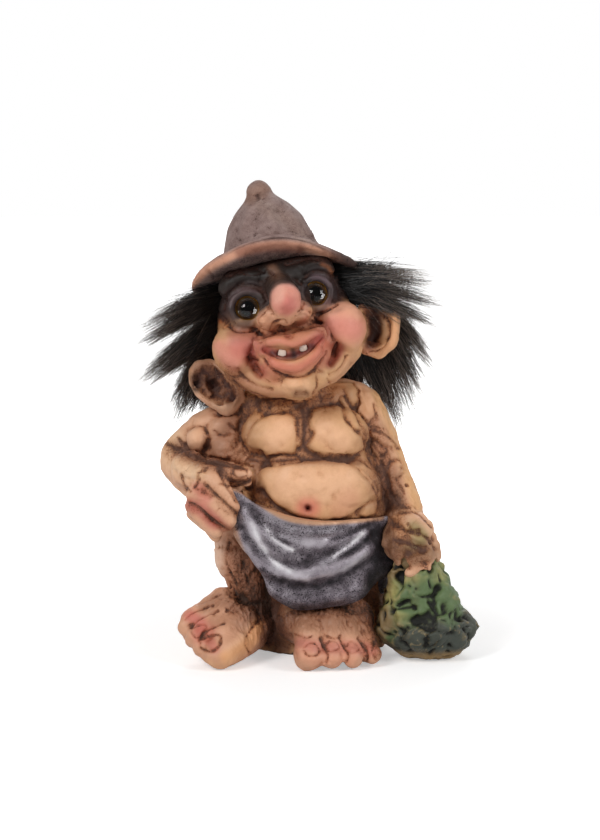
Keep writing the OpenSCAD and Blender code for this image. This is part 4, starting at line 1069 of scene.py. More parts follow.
for colour, strength, radius, path in hat_brush:
    hat.tint(path, radius, colour, strength)
hat.dark[:] = 0.22
hat.brush_wash_and_shade(brim, 6, -0.2)
# a dark band under the brim's rim: brown wash and painted shade of the brim
hat.brush_wash_and_shade([(214, 276), (240, 262), (270, 256), (304, 258), (336, 268)], 4, 0.3)
hat.brush_wash_and_shade([(340, 262), (356, 270), (372, 286)], 12, 0.5)
wash_hollows_and_shade(hat, 0.5, 0.5, 0.25, -0.3, 1.9, 0.1)
print("hat points", hat.n)

# %% [markdown]
# The tunic is a wet-looking cloth, cast in thin rubber. It hangs from the right hand in curved folds,
# like a hammock: soft ridges with narrower valleys between them. The crests are rubbed pale, with
# nearly white painted highlights along them, the valleys, the right side and the lower edge get
# painted shade, and a tan line follows the upper hem.

# %% Tunic
cloth = []
for node in ("tunic_front", "tunic_back"):
    # the back sheet is thin over the right hip, where a small filler keeps it whole
    patch = [capsule((-17.6, 22.2, 47), (-16.6, 23, 54), 1.9, 1.9)] if node == "tunic_back" else []
    part = Clay(wrapped(node + "_skin", [node], 0.55, patch))
    part.p = part.evened(part.p, 40)
    part.colour[:] = paint(146, 138, 144)
    part.look()
    cloth.append(part)
folds = [
    # kind, width, height, path
    ("soft", 7.0, 0.9, [(240, 508), (256, 526), (282, 542), (312, 546), (340, 540), (368, 526)]),
    ("soft", 5.0, -1.5, [(236, 518), (247, 540), (264, 556), (290, 564), (318, 560), (342, 549),
        (366, 535)]),
    ("soft", 7.0, 1.3, [(236, 530), (247, 554), (268, 570), (296, 576), (324, 571), (350, 558),
        (374, 542)]),
    ("soft", 4.6, -1.4, [(244, 552), (256, 572), (278, 585), (302, 589), (326, 585), (350, 573),
        (374, 558)]),
    ("soft", 6.0, 1.0, [(256, 576), (270, 592), (290, 600), (314, 602), (340, 595), (366, 582)]),
    ("soft", 2.6, -1.0, [(246, 506), (260, 524), (282, 538), (304, 543)]),
    ("soft", 2.4, -0.8, [(258, 516), (276, 530), (296, 536)]),
    ("soft", 2.6, -1.0, [(376, 534), (358, 548), (340, 560), (326, 565)]),
    ("soft", 2.4, -0.8, [(380, 552), (362, 568), (346, 578)]),
    ("soft", 2.4, -0.9, [(366, 524), (350, 534), (334, 541)]),
    ("soft", 3.4, 1.0, [(229, 488), (242, 490), (257, 498), (270, 509), (288, 518), (312, 522),
        (342, 521), (378, 518)]),
    ("soft", 2.6, -0.9, [(234, 502), (248, 506), (262, 516), (280, 527), (306, 533), (340, 531),
        (376, 526)]),
]
front, sheet = cloth
for at, reach, by in (((243, 498), 11, (-10, -13, 0)), ((268, 596), 12, (-3, 3, 0)),
                      ((345, 590), 16, (4, 5, 0)), ((384, 565), 13, (9, 0, 0))):
    front.pull(at, reach, by)
front.look()
for kind, width, height, path in folds:
    front.stroke(path, width, height * 1.1, kind=kind)
front.p = front.evened(front.p, 12)
front.look()
low, behind = smooth_step(62 - sheet.p[:, 2], 1, 8), smooth_step(sheet.p[:, 1], 2, 10)
sheet.p += sheet.normal * (0.5 + 0.9 * noise(sheet.p / [6, 6, 26]) * low * behind)[:, None]
sheet.p = sheet.evened(sheet.p, 8)
for part in cloth:
    part.push(np.arange(part.n), 0.35 * noise(part.p / 7) + 0.12 * noise(part.p / 2 + 3))
    part.look()
front.dark[:] = 0.28
sheet.dark[:] = 0.3
# painted shade on the back sheet where it shows at the right, between the leg and the club
sheet.dark += 0.8 * smooth_step(6 - sheet.p[:, 1], 0, 12) * smooth_step(sheet.p[:, 0], 0, 10)
# painted highlights along the backs of the folds
highlight_strips = [
    # radius, brightness, path
    (4.5, 1.0, [(245, 510), (251, 526), (259, 544), (270, 561), (288, 573), (306, 577)]),
    (3.75, 0.7, [(258, 522), (270, 538), (286, 550)]),
    (4.5, 1.0, [(364, 534), (350, 545), (336, 555), (322, 562)]),
    (3.75, 0.8, [(372, 548), (358, 560), (344, 570)]),
    (3, 0.6, [(280, 536), (306, 543), (330, 540)]),
    (3, 0.3, [(276, 586), (300, 592), (330, 588)]),
    (3, 0.5, [(266, 518), (296, 530), (340, 530)]),
]
for radius, bright, path in highlight_strips:
    front.tint(path, radius, (246, 242, 248), 0.5 * bright, soft=1)
    front.brush_wash_and_shade(path, radius, -0.16 * bright)
# narrow painted highlights on the fold crests, where the dark is wiped off
crest_highlights = [
    [(252, 524), (260, 542), (272, 560), (290, 572)],
    [(362, 534), (350, 545), (334, 556)],
    [(264, 526), (276, 540), (292, 550)],
]
for path in crest_highlights:
    front.tint(path, 2.2, (254, 252, 254), 0.85, soft=1).brush_wash_and_shade(path, 2.4, -0.3)
# painted shade in the valleys beside the crests
valley_shade = [
    [(256, 518), (270, 534), (288, 544)],
    [(374, 532), (357, 547), (340, 558)],
    [(262, 570), (280, 580), (304, 584)],
    [(368, 524), (350, 534), (330, 540)],
]
for path in valley_shade:
    front.brush_wash_and_shade(path, 2.6, 0.45)
# painted shade along the lower edge and up the right side, by the hand, and where the right side meets the
# club
front.brush_wash_and_shade([(262, 600), (284, 608), (320, 610), (360, 604), (380, 580), (388, 550)], 15, 0.5)
front.brush_wash_and_shade([(236, 500), (246, 512)], 9, 0.4).brush_wash_and_shade([(380, 530), (388, 560), (380, 590)], 13, 0.6)
for part in cloth:
    # The raised backs of the folds get a pale coat, partly rubbed paint and partly painted highlight.
    above = np.einsum("ij,ij->i", part.p - part.evened(part.p, 120), part.normal)
    rubbed_and_highlit = smooth_step(above + 0.12 * noise(part.p / 0.9) + 0.1 * noise(part.p / 5), 0.1, 0.8)
    part.coat((206, 198, 206), 0.4 * rubbed_and_highlit)
    part.dark -= 0.15 * rubbed_and_highlit
    wash_hollows_and_shade(part, 1.2, 0.9, 0.3, -0.3, 1.9, 0.12)
hem = [(226, 486), (240, 489), (255, 497), (270, 508), (288, 517), (312, 521), (342, 520), (380, 517)]
front.tint(hem, 4.5, (204, 156, 120), 0.95, soft=3).brush_wash_and_shade(hem, 4.5, -0.3)
front.tint([(224, 492), (231, 520), (242, 555), (255, 582), (270, 604)], 4, (188, 144, 114), 0.9)
print("tunic points", [part.n for part in cloth])

# %% [markdown]
# The club is a gnarled root with curled lumps and dark pits, which are noise in bent space. Thin raised
# threads run where a second noise passes through zero. The moss is green, the grip and the left side
# are browner, the thick end is nearly black with a tan rim, and the lumps and threads are rubbed tan.

# %% Club
club = Clay(wrapped("club_skin", ["club"], 0.6))
club.p = club.evened(club.p, 30)
club.look()
bent = (club.p + 2.6 * np.stack([noise(club.p / 4.4 + k) for k in (1, 12, 23)], 1)) * [1, 1, 1.35]
lump = noise(bent / 4.2 + 31) + 0.5 * noise(bent / 2.1 + 9)
pit = smooth_step(-lump, 0.15, 0.8)
thread = 1 - smooth_step(np.abs(noise(bent / 3.1 + 77)), 0.02, 0.09)
strokes = hair_noise(bent, (0.35, 0.1, 1), 0.8, 5)
knotty = (1.2 * lump - 1.2 * pit) * (0.6 + 0.4 * smooth_step(club.facing, 0.1, 0.6))
club.p += club.normal * (knotty + 0.35 * thread + 0.25 * strokes)[:, None]
club.p = club.evened(club.p, 2)
club.look()
high = (club.p[:, 2] - club.p[:, 2].min()) / np.ptp(club.p[:, 2])
shade = noise(club.p / 9 + 3) * 0.5 + 0.5
x = club.p[:, 0]
club.colour[:] = paint(96, 116, 76)
club.coat((176, 168, 106), smooth_step(shade + 0.25 * lump, 0.4, 0.9) * bell(high - 0.55, 0.25))
olive = smooth_step(noise(club.p / 8 + 60) - 0.06 * (x - 47) + 2.0 * smooth_step(high, 0.8, 1.0), 0.0, 0.7)
club.coat((140, 112, 78), 0.85 * olive)
low = smooth_step(0.40 - high + 0.3 * (shade - 0.5) + 0.006 * (x - 52), 0, 0.16)
club.coat((62, 64, 62), np.clip(low, 0, 0.9))
club.coat((156, 126, 84), smooth_step(0.14 - high, 0, 0.08))
worn = smooth_step(lump + 0.3 * strokes, 0.55, 1.1) * (1 - 0.7 * np.clip(low, 0, 1))
worn = np.clip(worn + 0.8 * thread * smooth_step(shade + low, 0.5, 1.1), 0, 1)
club.coat((176, 152, 106), 0.55 * worn)
wash_hollows_and_shade(club, 1.2, 0.9, 0.3, -0.2, 1.5, 0.15)
# The pits are darkened: brown wash, and painted shade in the recesses.
club.dark = np.clip(club.dark + 0.8 * pit - 0.25 * worn, 0, 1)
print("club points", club.n)

# %% [markdown]
# The hair is long fake fur, glued on in tufts round the head. Each tuft is drawn as strands that
# taper to a point. Strands gather in locks, and each lock aims at its own tip, so the outline is
# spiky as in the photograph.

# %% Fur
def between(line, t):
    """Points at shares t along a polyline."""
    s = t * (len(line) - 1)
    k = np.minimum(s.astype(int), len(line) - 2)
    return line[k] + (line[k + 1] - line[k]) * (s - k)[:, None]


def fan(dice, roots, tips, locks, strands, sag=2.0, tight=1.1, stray=0.14):
    """Paths of strands that leave a line of roots in locks, each lock aimed at its own tip."""
    line_a, line_b = (np.array([spot(*p) for p in line]) for line in (roots, tips))
    t = dice.random(locks)
    short = dice.random(locks) < 0.35
    reach = np.where(short, dice.uniform(0.55, 0.85, locks), dice.uniform(0.85, 1.03, locks))
    lock_root = between(line_a, np.clip(t + dice.normal(0, 0.05, locks), 0, 1))
    lock_root = lock_root + dice.normal(0, 1.0, (locks, 3))
    lock_tip = lock_root + (between(line_b, t) - lock_root) * reach[:, None] + dice.normal(0, 1.0, (locks, 3))
    k = dice.integers(0, locks, strands)
    start = lock_root[k] + dice.normal(0, 1.7, (strands, 3))
    stop = lock_tip[k] + dice.normal(0, tight, (strands, 3)) * dice.uniform(0.2, 1.2, strands)[:, None]
    stop = start + (stop - start) * (1 - 0.6 * dice.random(strands) ** 1.3)[:, None]
    wild = dice.random(strands) < stray
    stop[wild] += dice.normal(0, 5.5, (wild.sum(), 3))
    length = np.linalg.norm(stop - start, axis=1)[:, None]
    middle = (start + stop) / 2 + dice.normal(0, 0.025, (strands, 3)) * length
    middle[:, 2] += sag * dice.uniform(0.6, 1.3, strands)
    u = np.linspace(0, 1, 7)[None, :, None]
    return (1 - u) ** 2 * start[:, None] + 2 * u * (1 - u) * middle[:, None] + u ** 2 * stop[:, None]


def rope(dice, path, radii, strands):
    """Paths of strands that fill a lock which swells and tapers along a path, in millimetres."""
    turn, out = dice.random(strands) * 2 * math.pi, dice.random(strands) ** 0.35
    aside = np.stack([np.cos(turn) * out, np.sin(turn) * out, np.zeros(strands)], 1)
    first, last = dice.random(strands) * 0.5, dice.uniform(0.75, 1.0, strands)
    u = np.linspace(0, 1, 7)[:, None]
    t = first + (last - first) * u
    line = np.array([between(np.array(path, float), row) for row in t])
    wide = np.array([np.interp(row * (len(radii) - 1), range(len(radii)), radii) for row in t])
    wide *= 1 - 0.35 * u ** 2
    return (line + aside * wide[:, :, None] + dice.normal(0, 0.25, line.shape)).transpose(1, 0, 2)


def fur_tuft(node, seed, paths, thick=0.085):
    """One mesh of three-sided strands that taper to a point along the paths."""
    dice = np.random.default_rng(seed)
    path = np.concatenate(paths)
    strands, steps, sides = len(path), path.shape[1], 3
    way = path[:, -1] - path[:, 0]
    way /= np.linalg.norm(way, axis=1)[:, None]
    a = np.cross(way, [0.3, 0.9, 0.2])
    a /= np.linalg.norm(a, axis=1)[:, None]
    b = np.cross(way, a)
    u = np.linspace(0, 1, steps)[None, :, None]
    radius = thick * dice.uniform(0.7, 1.3, strands)[:, None] * (1 - 0.88 * u[:, :, 0] ** 1.2)
    turn = (np.arange(sides) * 2 * math.pi / sides)[:, None]
    ring = np.cos(turn) * a[:, None, None] + np.sin(turn) * b[:, None, None]
    points = path[:, :, None] + ring * radius[:, :, None, None]
    number = np.arange(strands * steps * sides).reshape(strands, steps, sides)
    low, high = number[:, :-1], number[:, 1:]
    walls = np.stack([low, np.roll(low, -1, 2), np.roll(high, -1, 2), high], -1).reshape(-1, 4)
    ends = np.concatenate([number[:, 0, ::-1].reshape(-1, 3), number[:, -1].reshape(-1, 3)])
    mesh = bpy.data.meshes.new(node + "_strands")
    mesh.from_pydata((points.reshape(-1, 3) / 1000).tolist(), [], walls.tolist() + ends.tolist())
    piece = bpy.data.objects.new(node + "_strands", mesh)
    bpy.context.scene.collection.objects.link(piece)
    tone = mesh.attributes.new("tone", "FLOAT", "POINT")
    value = dice.random(strands)[:, None, None] ** 3 * 0.8 * (0.3 + 0.7 * u) + 0.36 * u ** 1.6
    tone.data.foreach_set("value", np.broadcast_to(value, number.shape).ravel().astype(np.float32))
    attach(piece, "root")
    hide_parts(node)
    return piece


bushes = [
    # node, then its fans: roots and tips as pixel x, y and depth, locks, strands, sag, spread, stray
    ("fur_right_upper", [
        ([(232, 286, 4), (220, 298, 2), (215, 312, 3)],
         [(160, 310, -3), (143, 320, -4), (124, 332, -6), (120, 352, -6), (136, 350, -4), (156, 336, -3)],
         44, 1900),
        ([(212, 292, -2), (208, 304, -2)], [(150, 312, -8), (126, 346, -8)], 10, 120, 2.0, 2.5, 0.3),
    ]),
    ("fur_right_middle", [
        ([(220, 318, 4), (216, 332, 4), (212, 346, 6)],
         [(140, 366, -1), (133, 378, -2), (124, 394, -2), (138, 394, 0), (158, 380, 1)], 38, 1900, 2.5),
        ([(206, 322, 0), (202, 340, 0)], [(150, 372, -4), (130, 398, -4)], 10, 120, 2.0, 2.5, 0.3),
    ]),
    ("fur_right_hanging", [
        ([(208, 340, 9), (200, 356, 9), (204, 378, 11), (212, 392, 12)],
         [(168, 396, 7), (163, 420, 8), (173, 427, 8), (188, 420, 9), (206, 416, 10)], 42, 2000, 1.5),
        ([(190, 385, 9), (196, 395, 9)], [(158, 448, 6), (172, 436, 6)], 5, 30, 0.5, 2.0, 0.3),
        ([(214, 340, 12), (216, 350, 12), (218, 360, 12)],
         [(200, 362, 11), (202, 376, 12), (208, 390, 12)], 14, 700, 0.5),
    ]),
    ("fur_left_upper", [
        ([(336, 270, 4), (343, 284, 3), (350, 300, 4)],
         [(436, 272, -5), (452, 283, -7), (461, 310, -8), (446, 326, -6), (455, 337, -6), (420, 318, -4)],
         52, 2500, 2.5),
        ([(366, 276, 0), (372, 280, 0)], [(398, 238, -2), (412, 246, -4), (454, 254, -6)],
         8, 36, -1.0, 2.5, 0.3),
        ([(356, 282, -4), (360, 296, -4)], [(450, 278, -10), (452, 334, -8)], 10, 120, 2.0, 3.0, 0.3),
        ([(346, 294, 9), (350, 306, 12)], [(370, 296, 11), (372, 312, 13)], 8, 350, 0.3),
    ]),
    ("fur_left_middle", [
        ([(376, 296, 13), (382, 312, 13), (384, 330, 13)],
         [(432, 352, 5), (440, 368, 4), (442, 386, 4), (424, 392, 6), (428, 402, 6), (414, 398, 7)],
         42, 2000, 2.0),
    ]),
    ("fur_left_hanging", [
        ([(384, 330, 15), (372, 344, 15), (356, 356, 13)],
         [(426, 422, 8), (414, 426, 9), (407, 442, 10), (400, 434, 10), (388, 414, 12)], 42, 2000, 1.5),
        ([(364, 350, 14), (352, 356, 14), (342, 360, 14)],
         [(382, 396, 12), (370, 398, 13), (354, 392, 14)], 16, 900, 0.5),
    ]),
]
dice = np.random.default_rng(3)
tufts = []
for seed, (node, fans) in enumerate(bushes, 1):
    tufts.append(fur_tuft(node, seed, [fan(dice, *settings) for settings in fans]))
print("strands on", len(tufts), "tufts")

# %% [markdown]
# The back of the head has its own tuft, which hangs from under the hat in five locks side by side. The
# photograph doesn't show it, so it follows the reach of the CAD locks.

# %% Fur at the back
locks = []
for k in (-2, -1, 0, 1, 2):
    x, y, z = -5.3 + 9 * k, 25.0 - 2.2 * k * k, 133.5
    path = [(x, y, z + 14), (x + 2.5 * k, y + 6, z - 4), (x + 3 * k, y + 6.5, z - 25),
            (x + 3 * k, y + 5, z - 46 + 4 * abs(k))]
    locks.append(rope(dice, path, [6.5, 8.5, 8.5, 5.5], 820))
tufts.append(fur_tuft("fur_back", 7, locks, 0.16))
print("back tuft of", sum(len(lock) for lock in locks), "strands")

# %% [markdown]
# The two teeth are blunt pegs that were pressed into holes in the gum. Each is a box with rounded edges
# that narrows upwards, and stands a little askew, where the CAD peg stands.

# %% Teeth
def middle(node):
    return sum((Vector(c) for c in node.bound_box), Vector()) / 8


teeth = []
for side, lean in (("right", 6), ("left", -10)):
    centre = middle(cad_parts[side + "_tooth"])
    deselect()
    bpy.ops.mesh.primitive_cube_add(size=1)
    tooth = bpy.context.object
    tooth.name = side + "_tooth_peg"
    bpy.ops.object.mode_set(mode="EDIT")
    bpy.ops.mesh.select_all(action="SELECT")
    bpy.ops.mesh.subdivide(number_cuts=1)
    bpy.ops.mesh.bevel(offset=0.18, segments=3, affect="EDGES")
    bpy.ops.object.mode_set(mode="OBJECT")
    turn = Matrix.Rotation(math.radians(lean), 3, "Y")
    for v in tooth.data.vertices:
        q = Vector((v.co.x * (3.3 - 0.7 * v.co.z), v.co.y * 3.2, v.co.z * 3.8)) / 1000
        v.co = centre + turn @ q
    tooth.data.polygons.foreach_set("use_smooth", [True] * len(tooth.data.polygons))
    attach(tooth, "root")
    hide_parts(side + "_tooth")
    teeth.append(tooth)
print("teeth", [len(q.data.polygons) for q in teeth])

# %% [markdown]
# A shader is written like a sum. Each socket is wrapped in a small class, so that plus, minus and
# times make the math nodes.

# %% Shader sums
class Wire:
    def __init__(self, tree, socket):
        self.tree, self.socket = tree, socket

    def feed(self, socket, value):
        if isinstance(value, Wire):
            self.tree.links.new(value.socket, socket)
        else:
            socket.default_value = value

    def node(self, kind, settings=None, inputs=None, out=0):
        """Any node, by its type, its settings and the values or wires of its sockets."""
        node = self.tree.nodes.new("ShaderNode" + kind)
        for name, value in (settings or {}).items():
            setattr(node, name, value)
        for name, value in (inputs or {}).items():
            self.feed(node.inputs[name], value)
        return Wire(self.tree, node.outputs[out])

    def maths(self, kind, *values):
        return self.node("Math", {"operation": kind}, dict(enumerate(values)))

    def __add__(self, other):
        return self.maths("ADD", self, other)

    def __sub__(self, other):
        return self.maths("SUBTRACT", self, other)

    def __rsub__(self, other):
        return self.maths("SUBTRACT", other, self)

    def __mul__(self, other):
        return self.maths("MULTIPLY", self, other)

    __radd__ = __add__
    __rmul__ = __mul__

    def step(self, low, high):
        return self.node("MapRange", {"interpolation_type": "SMOOTHSTEP"}, {0: self, 1: low, 2: high})

    def blend(self, first, second):
        """A colour from first to second as this value goes from 0 to 1."""
        first, second = (c if isinstance(c, Wire) else (*c, 1) for c in (first, second))
        return self.node("Mix", {"data_type": "RGBA"}, {0: self, 6: first, 7: second}, 2)


def finish_for(name, **values):
    """A material with plain values set on its sockets, and a wire to build the rest with."""
    material = bpy.data.materials.new(name)
    material.use_nodes = True
    shader = material.node_tree.nodes["Principled BSDF"]
    for key, value in values.items():
        shader.inputs[key.replace("_", " ")].default_value = value
    wire = Wire(material.node_tree, None)
    wire.to = lambda socket, value: wire.feed(shader.inputs[socket], value)
    return material, wire


def attribute(wire, name, out=2):
    return wire.node("Attribute", {"attribute_name": name}, out=out)


def grain(wire, scale, detail=2.0, rough=0.5):
    inputs = {"Vector": wire.node("TexCoord", out=3), "Scale": scale, "Detail": detail, "Roughness": rough}
    return wire.node("TexNoise", inputs=inputs)


print("shader sums ready")

# %% [markdown]
# Painted rubber is satin: light tan under a brown wash. The clay's darkness holds the wash and the
# painted shade, and both take the wash colour. The wash is darker and duller where it pools, speckled
# where the brush was nearly dry, and cracked on the skin.

# %% Painted rubber
def painted_rubber(name, wash_and_shade_colour, glaze, rough=0.5, speckle=0.45, bump=0.45, pores=0.4, cracks=0.0,
                   metal=0.0, tiny=1300):
    """A material that lays a wash colour over the clay's own paint, by the clay's darkness, which holds the
    brown wash and the painted shade.
    """
    material, w = finish_for(name, Specular_IOR_Level=0.4, Metallic=metal)
    place = w.node("TexCoord", out=3)
    fine, broad = grain(w, tiny, 2, 0.6), grain(w, 240, 4, 0.6)
    drift = w.node("TexNoise", inputs={"Vector": place, "Scale": 160.0, "Detail": 3.0}, out=1)
    drift = w.node("VectorMath", {"operation": "SCALE"}, {0: drift, "Scale": 0.006})
    bent = w.node("VectorMath", {"operation": "ADD"}, {0: place, 1: drift})
    edge = w.node("TexVoronoi", {"feature": "DISTANCE_TO_EDGE"}, {"Vector": bent, "Scale": 330.0})
    crack = 1 - edge.step(0.01, 0.16)
    dark = attribute(w, "dark")
    worn = dark.step(0.08, 0.5)
    dark = dark + crack * worn * cracks + (fine - 0.5) * speckle + (broad - 0.5) * speckle
    dark = dark + (0.47 - fine).step(0.0, 0.09) * pores * (worn * 0.7 + 0.3)
    thin = w.node("Mix", {"data_type": "RGBA", "blend_type": "MULTIPLY"},
                  {0: dark.step(-0.1, 0.7), 6: attribute(w, "paint", 0), 7: (*glaze, 1)}, 2)
    w.to("Base Color", dark.step(0.3, 1.15).blend(thin, wash_and_shade_colour))
    w.to("Roughness", dark * 0.15 + rough + (broad - 0.5) * 0.2)
    height = fine * 0.5 + broad - crack * worn * 0.7
    w.to("Normal", w.node("Bump", inputs={"Strength": bump, "Distance": 0.0004, "Height": height}))
    return material


GLAZE = paint(208, 180, 158)
casting = {
    "face_casting": painted_rubber("face_paint", paint(66, 36, 27), GLAZE, cracks=0.12),
    "skin_casting": painted_rubber("skin_paint", paint(88, 56, 42), GLAZE, cracks=0.18),
    "leg_casting": painted_rubber("leg_paint", paint(62, 41, 30), GLAZE, cracks=0.2),
    "hat_casting": painted_rubber("hat_paint", paint(60, 46, 44), paint(196, 180, 176),
                                  rough=0.75, speckle=0.9, bump=0.6, pores=0.6, tiny=1900),
    "tunic_casting": painted_rubber("tunic_paint", paint(26, 22, 26), paint(180, 172, 178),
                                    rough=0.42, speckle=1.25, bump=0.3, pores=1.7, metal=0.3, tiny=2300),
    "club_casting": painted_rubber("club_paint", paint(22, 22, 18), paint(190, 186, 170),
                                   speckle=0.4, bump=0.5, pores=0.2),
}
print("painted rubber for", len(casting), "slots")

# %% [markdown]
# The eyes are glass: a clear lens over a dark brown iris with an amber edge, and a black pupil. The
# teeth are small moulded pegs. The fur is dull black with brown-grey ends, and the plug under the
# body is felt.

# %% Glass, teeth, fur and felt
WHITE = (1, 1, 1, 1)
glass, _ = finish_for("clear_glass", Roughness=0.02, IOR=1.45, Transmission_Weight=1.0, Base_Color=WHITE)
iris, _ = finish_for("iris_paint", Roughness=0.5, Specular_IOR_Level=0.0)
pupil, _ = finish_for("pupil_paint", Roughness=0.5, Base_Color=(*paint(6, 5, 6), 1), Specular_IOR_Level=0.0)
ivory, w = finish_for("tooth_plastic", Roughness=0.4, Coat_Weight=0.2, Subsurface_Weight=0.15,
                      Subsurface_Radius=(0.001, 0.0008, 0.0006), Base_Color=(*paint(232, 222, 208), 1))
w.to("Base Color", grain(w, 500).blend(paint(232, 212, 198), paint(200, 176, 160)))
fur, w = finish_for("fur_fibre", Specular_IOR_Level=0.35, Roughness=0.45)
w.to("Base Color", attribute(w, "tone").step(0.2, 0.9).blend(paint(15, 12, 11), paint(160, 142, 130)))
felt, w = finish_for("plug_felt", Roughness=0.95, Sheen_Weight=0.3)
w.to("Base Color", grain(w, 900, 4).blend(paint(60, 50, 44), paint(92, 78, 68)))
print("six more finishes")

# %% [markdown]
# The iris is a disc, coloured by the distance from its own middle: nearly black at the pupil, brown,
# then an amber rim, with fine spokes.

# %% Iris colours
def finished(node, material):
    """A CAD node gets one material in place of its own."""
    data = node.data
    data.materials.clear()
    data.materials.append(material)
    data.polygons.foreach_set("material_index", [0] * len(data.polygons))


for side in ("right", "left"):
    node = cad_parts[side + "_eye_iris"]
    centre = middle(node)
    paint_iris = iris if side == "left" else iris.copy()
    w = Wire(paint_iris.node_tree, None)
    shader = paint_iris.node_tree.nodes["Principled BSDF"]
    place = w.node("TexCoord", out=3)
    away = w.node("VectorMath", {"operation": "DISTANCE"}, {0: place, 1: tuple(centre)}, 1) * 1000
    spokes = w.node("TexNoise", inputs={"Vector": place, "Scale": 1800.0, "Detail": 2.0})
    dark_to_brown = (away + (spokes - 0.5) * 1.2).step(2.2, 3.6).blend(paint(40, 26, 18), paint(82, 56, 32))
    to_amber = (away + (spokes - 0.5) * 0.8).step(3.4, 4.3)
    w.feed(shader.inputs["Base Color"], to_amber.blend(dark_to_brown, paint(158, 112, 48)))
    finished(node, paint_iris)
print("irises painted")

# %% [markdown]
# The finishes go on the CAD nodes that stay, which keep their own shape.

# %% Finishes on the nodes
for node, finish in [("right_eye_glass", glass), ("left_eye_glass", glass), ("right_eye_pupil", pupil),
                     ("left_eye_pupil", pupil), ("base_plug", felt)]:
    finished(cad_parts[node], finish)
for piece, finish in [(q, fur) for q in tufts] + [(q, ivory) for q in teeth]:
    piece.data.materials.append(finish)
print("nodes finished")

# %% [markdown]
# The clay is handed over with its paint, and the skin is cut back into its named pieces. A cut edge
# is turned inwards by a millimetre, as at a seam between two castings.

# %% Handing over
SLOT = {"hat": "hat_casting", "tunic_front": "tunic_casting", "tunic_back": "tunic_casting",
        "club": "club_casting", "right_leg": "leg_casting", "left_leg": "leg_casting",
        **dict.fromkeys(["head", "nose", "right_ear", "left_ear"], "face_casting")}


def handed_over(clay, keep, node):
    """The faces of a clay whose points are in keep, as one piece with its paint, for a CAD node."""
    mesh = clay.piece.data
    loops = read(mesh.loops, "vertex_index", 1, int)
    starts, sizes = (read(mesh.polygons, name, 1, int) for name in ("loop_start", "loop_total"))
    quads = loops[starts[sizes == 4][:, None] + np.arange(4)]
    faces = quads[keep[quads[:, 0]]]
    used, faces = np.unique(faces, return_inverse=True)
    faces = faces.reshape(-1, 4)
    sides = faces[:, [0, 1, 1, 2, 2, 3, 3, 0]].reshape(-1, 2)
    key = sides.min(1) * len(used) + sides.max(1)
    _, first, count = np.unique(key, return_index=True, return_counts=True)
    cut = sides[first[count == 1]]
    rim = np.unique(cut)
    points = np.vstack([clay.p[used], clay.p[used[rim]] - clay.normal[used[rim]]])
    inner = len(used) + np.searchsorted(rim, cut)
    faces = np.vstack([faces, np.stack([cut[:, 1], cut[:, 0], inner[:, 0], inner[:, 1]], 1)])
    used = np.concatenate([used, used[rim]])
    name, slot = node + "_cast", SLOT.get(node, "skin_casting")
    piece_mesh = bpy.data.meshes.new(name)
    piece_mesh.from_pydata((points / 1000).tolist(), [], faces.tolist())
    colour = piece_mesh.attributes.new("paint", "FLOAT_COLOR", "POINT")
    opaque = np.hstack([clay.colour[used], np.ones((len(used), 1))])
    colour.data.foreach_set("color", opaque.ravel().astype(np.float32))
    dark = piece_mesh.attributes.new("dark", "FLOAT", "POINT")
    dark.data.foreach_set("value", clay.dark[used].astype(np.float32))
    piece_mesh.polygons.foreach_set("use_smooth", [True] * len(piece_mesh.polygons))
    piece = bpy.data.objects.new(name, piece_mesh)
    bpy.context.scene.collection.objects.link(piece)
    piece_mesh.materials.append(casting[slot])
    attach(piece, "root")
    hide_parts(node)
    return piece


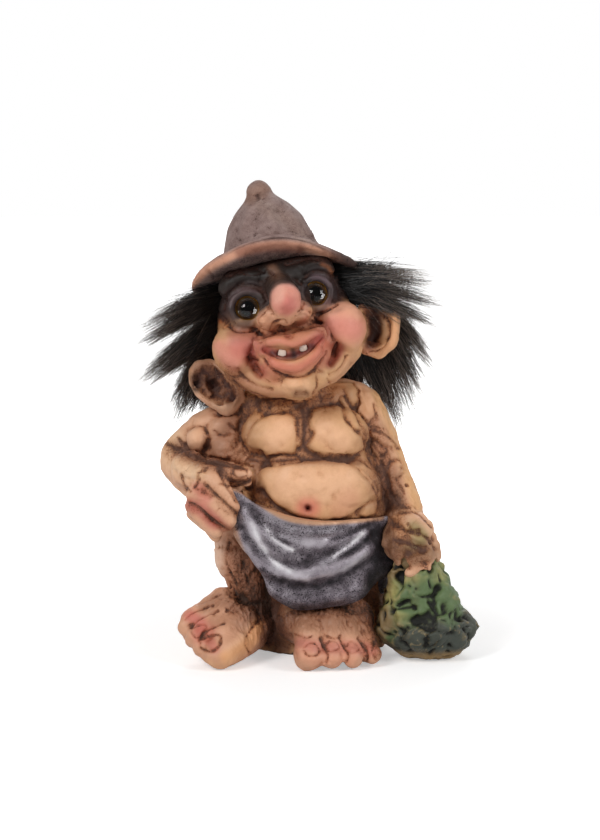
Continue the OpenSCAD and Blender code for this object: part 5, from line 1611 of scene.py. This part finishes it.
everything = {"hat": hat, "tunic_front": front, "tunic_back": sheet, "club": club, "skin": skin}
for clay in everything.values():
    clay.p[:, 2] = np.maximum(clay.p[:, 2], 0)
pieces = [handed_over(everything[node], np.ones(everything[node].n, bool), node)
          for node in ("hat", "tunic_front", "tunic_back", "club")]
pieces += [handed_over(skin, skin.part == k, node) for k, node in enumerate(SKIN_NODES)]
for clay in everything.values():
    bpy.data.objects.remove(clay.piece)
print("pieces", len(pieces), "faces", sum(len(p.data.polygons) for p in pieces))

# %% [markdown]
# The photograph has a white ground and broad soft lamps: a large one high on the left, a second on
# the right, and a white world that fills the shadows. The floor is white to the camera and keeps
# the troll's shadow.

# %% Light and floor
def lamp(name, place, aim, size, power):
    light = bpy.data.objects.new(name, bpy.data.lights.new(name, "AREA"))
    bpy.context.scene.collection.objects.link(light)
    light.location = place
    light.data.size = size
    light.data.energy = power
    light.rotation_euler = (Vector(aim) - Vector(place)).to_track_quat("-Z", "Y").to_euler()


lamp("left_softbox", (-0.62, -0.75, 0.78), (0, 0, 0.11), 0.45, 6.6)
lamp("right_softbox", (0.75, -0.55, 0.55), (0, 0, 0.11), 0.4, 3.6)
lamp("back_softbox", (0.1, 0.8, 0.6), (0, 0, 0.12), 0.5, 3.0)
world = bpy.data.worlds.new("studio")
bpy.context.scene.world = world
world.use_nodes = True
w = Wire(world.node_tree, None)
plain, glossy, through = (w.node("LightPath", out="Is %s Ray" % kind)
                          for kind in ("Camera", "Glossy", "Transmission"))
behind = w.node("SeparateXYZ", inputs={0: w.node("TexCoord")}, out=1).step(-0.1, 0.4)
glossy = w.maths("MAXIMUM", glossy, through)
seen = w.maths("MAXIMUM", plain, glossy * behind) - glossy * (1 - behind) * 0.35
backdrop = world.node_tree.nodes["Background"].inputs
w.feed(backdrop["Strength"], seen * 0.7 + 0.3)
w.feed(backdrop["Color"], WHITE)
deselect()
bpy.ops.mesh.primitive_plane_add(size=3)
floor = bpy.context.object
floor.name = "floor"
white, w = finish_for("floor_white", Roughness=0.9, Base_Color=(*paint(235, 235, 235), 1),
                      Specular_IOR_Level=0.1)
w.to("Emission Color", WHITE)
away = w.node("VectorMath", {"operation": "LENGTH"}, {0: w.node("TexCoord", out=3)}, 1)
w.to("Emission Strength", w.node("LightPath", out="Is Camera Ray") * (away.step(0.07, 0.3) * 0.75 + 0.4))
floor.data.materials.append(white)
bpy.context.scene.view_settings.view_transform = "Standard"
print("lamps on")
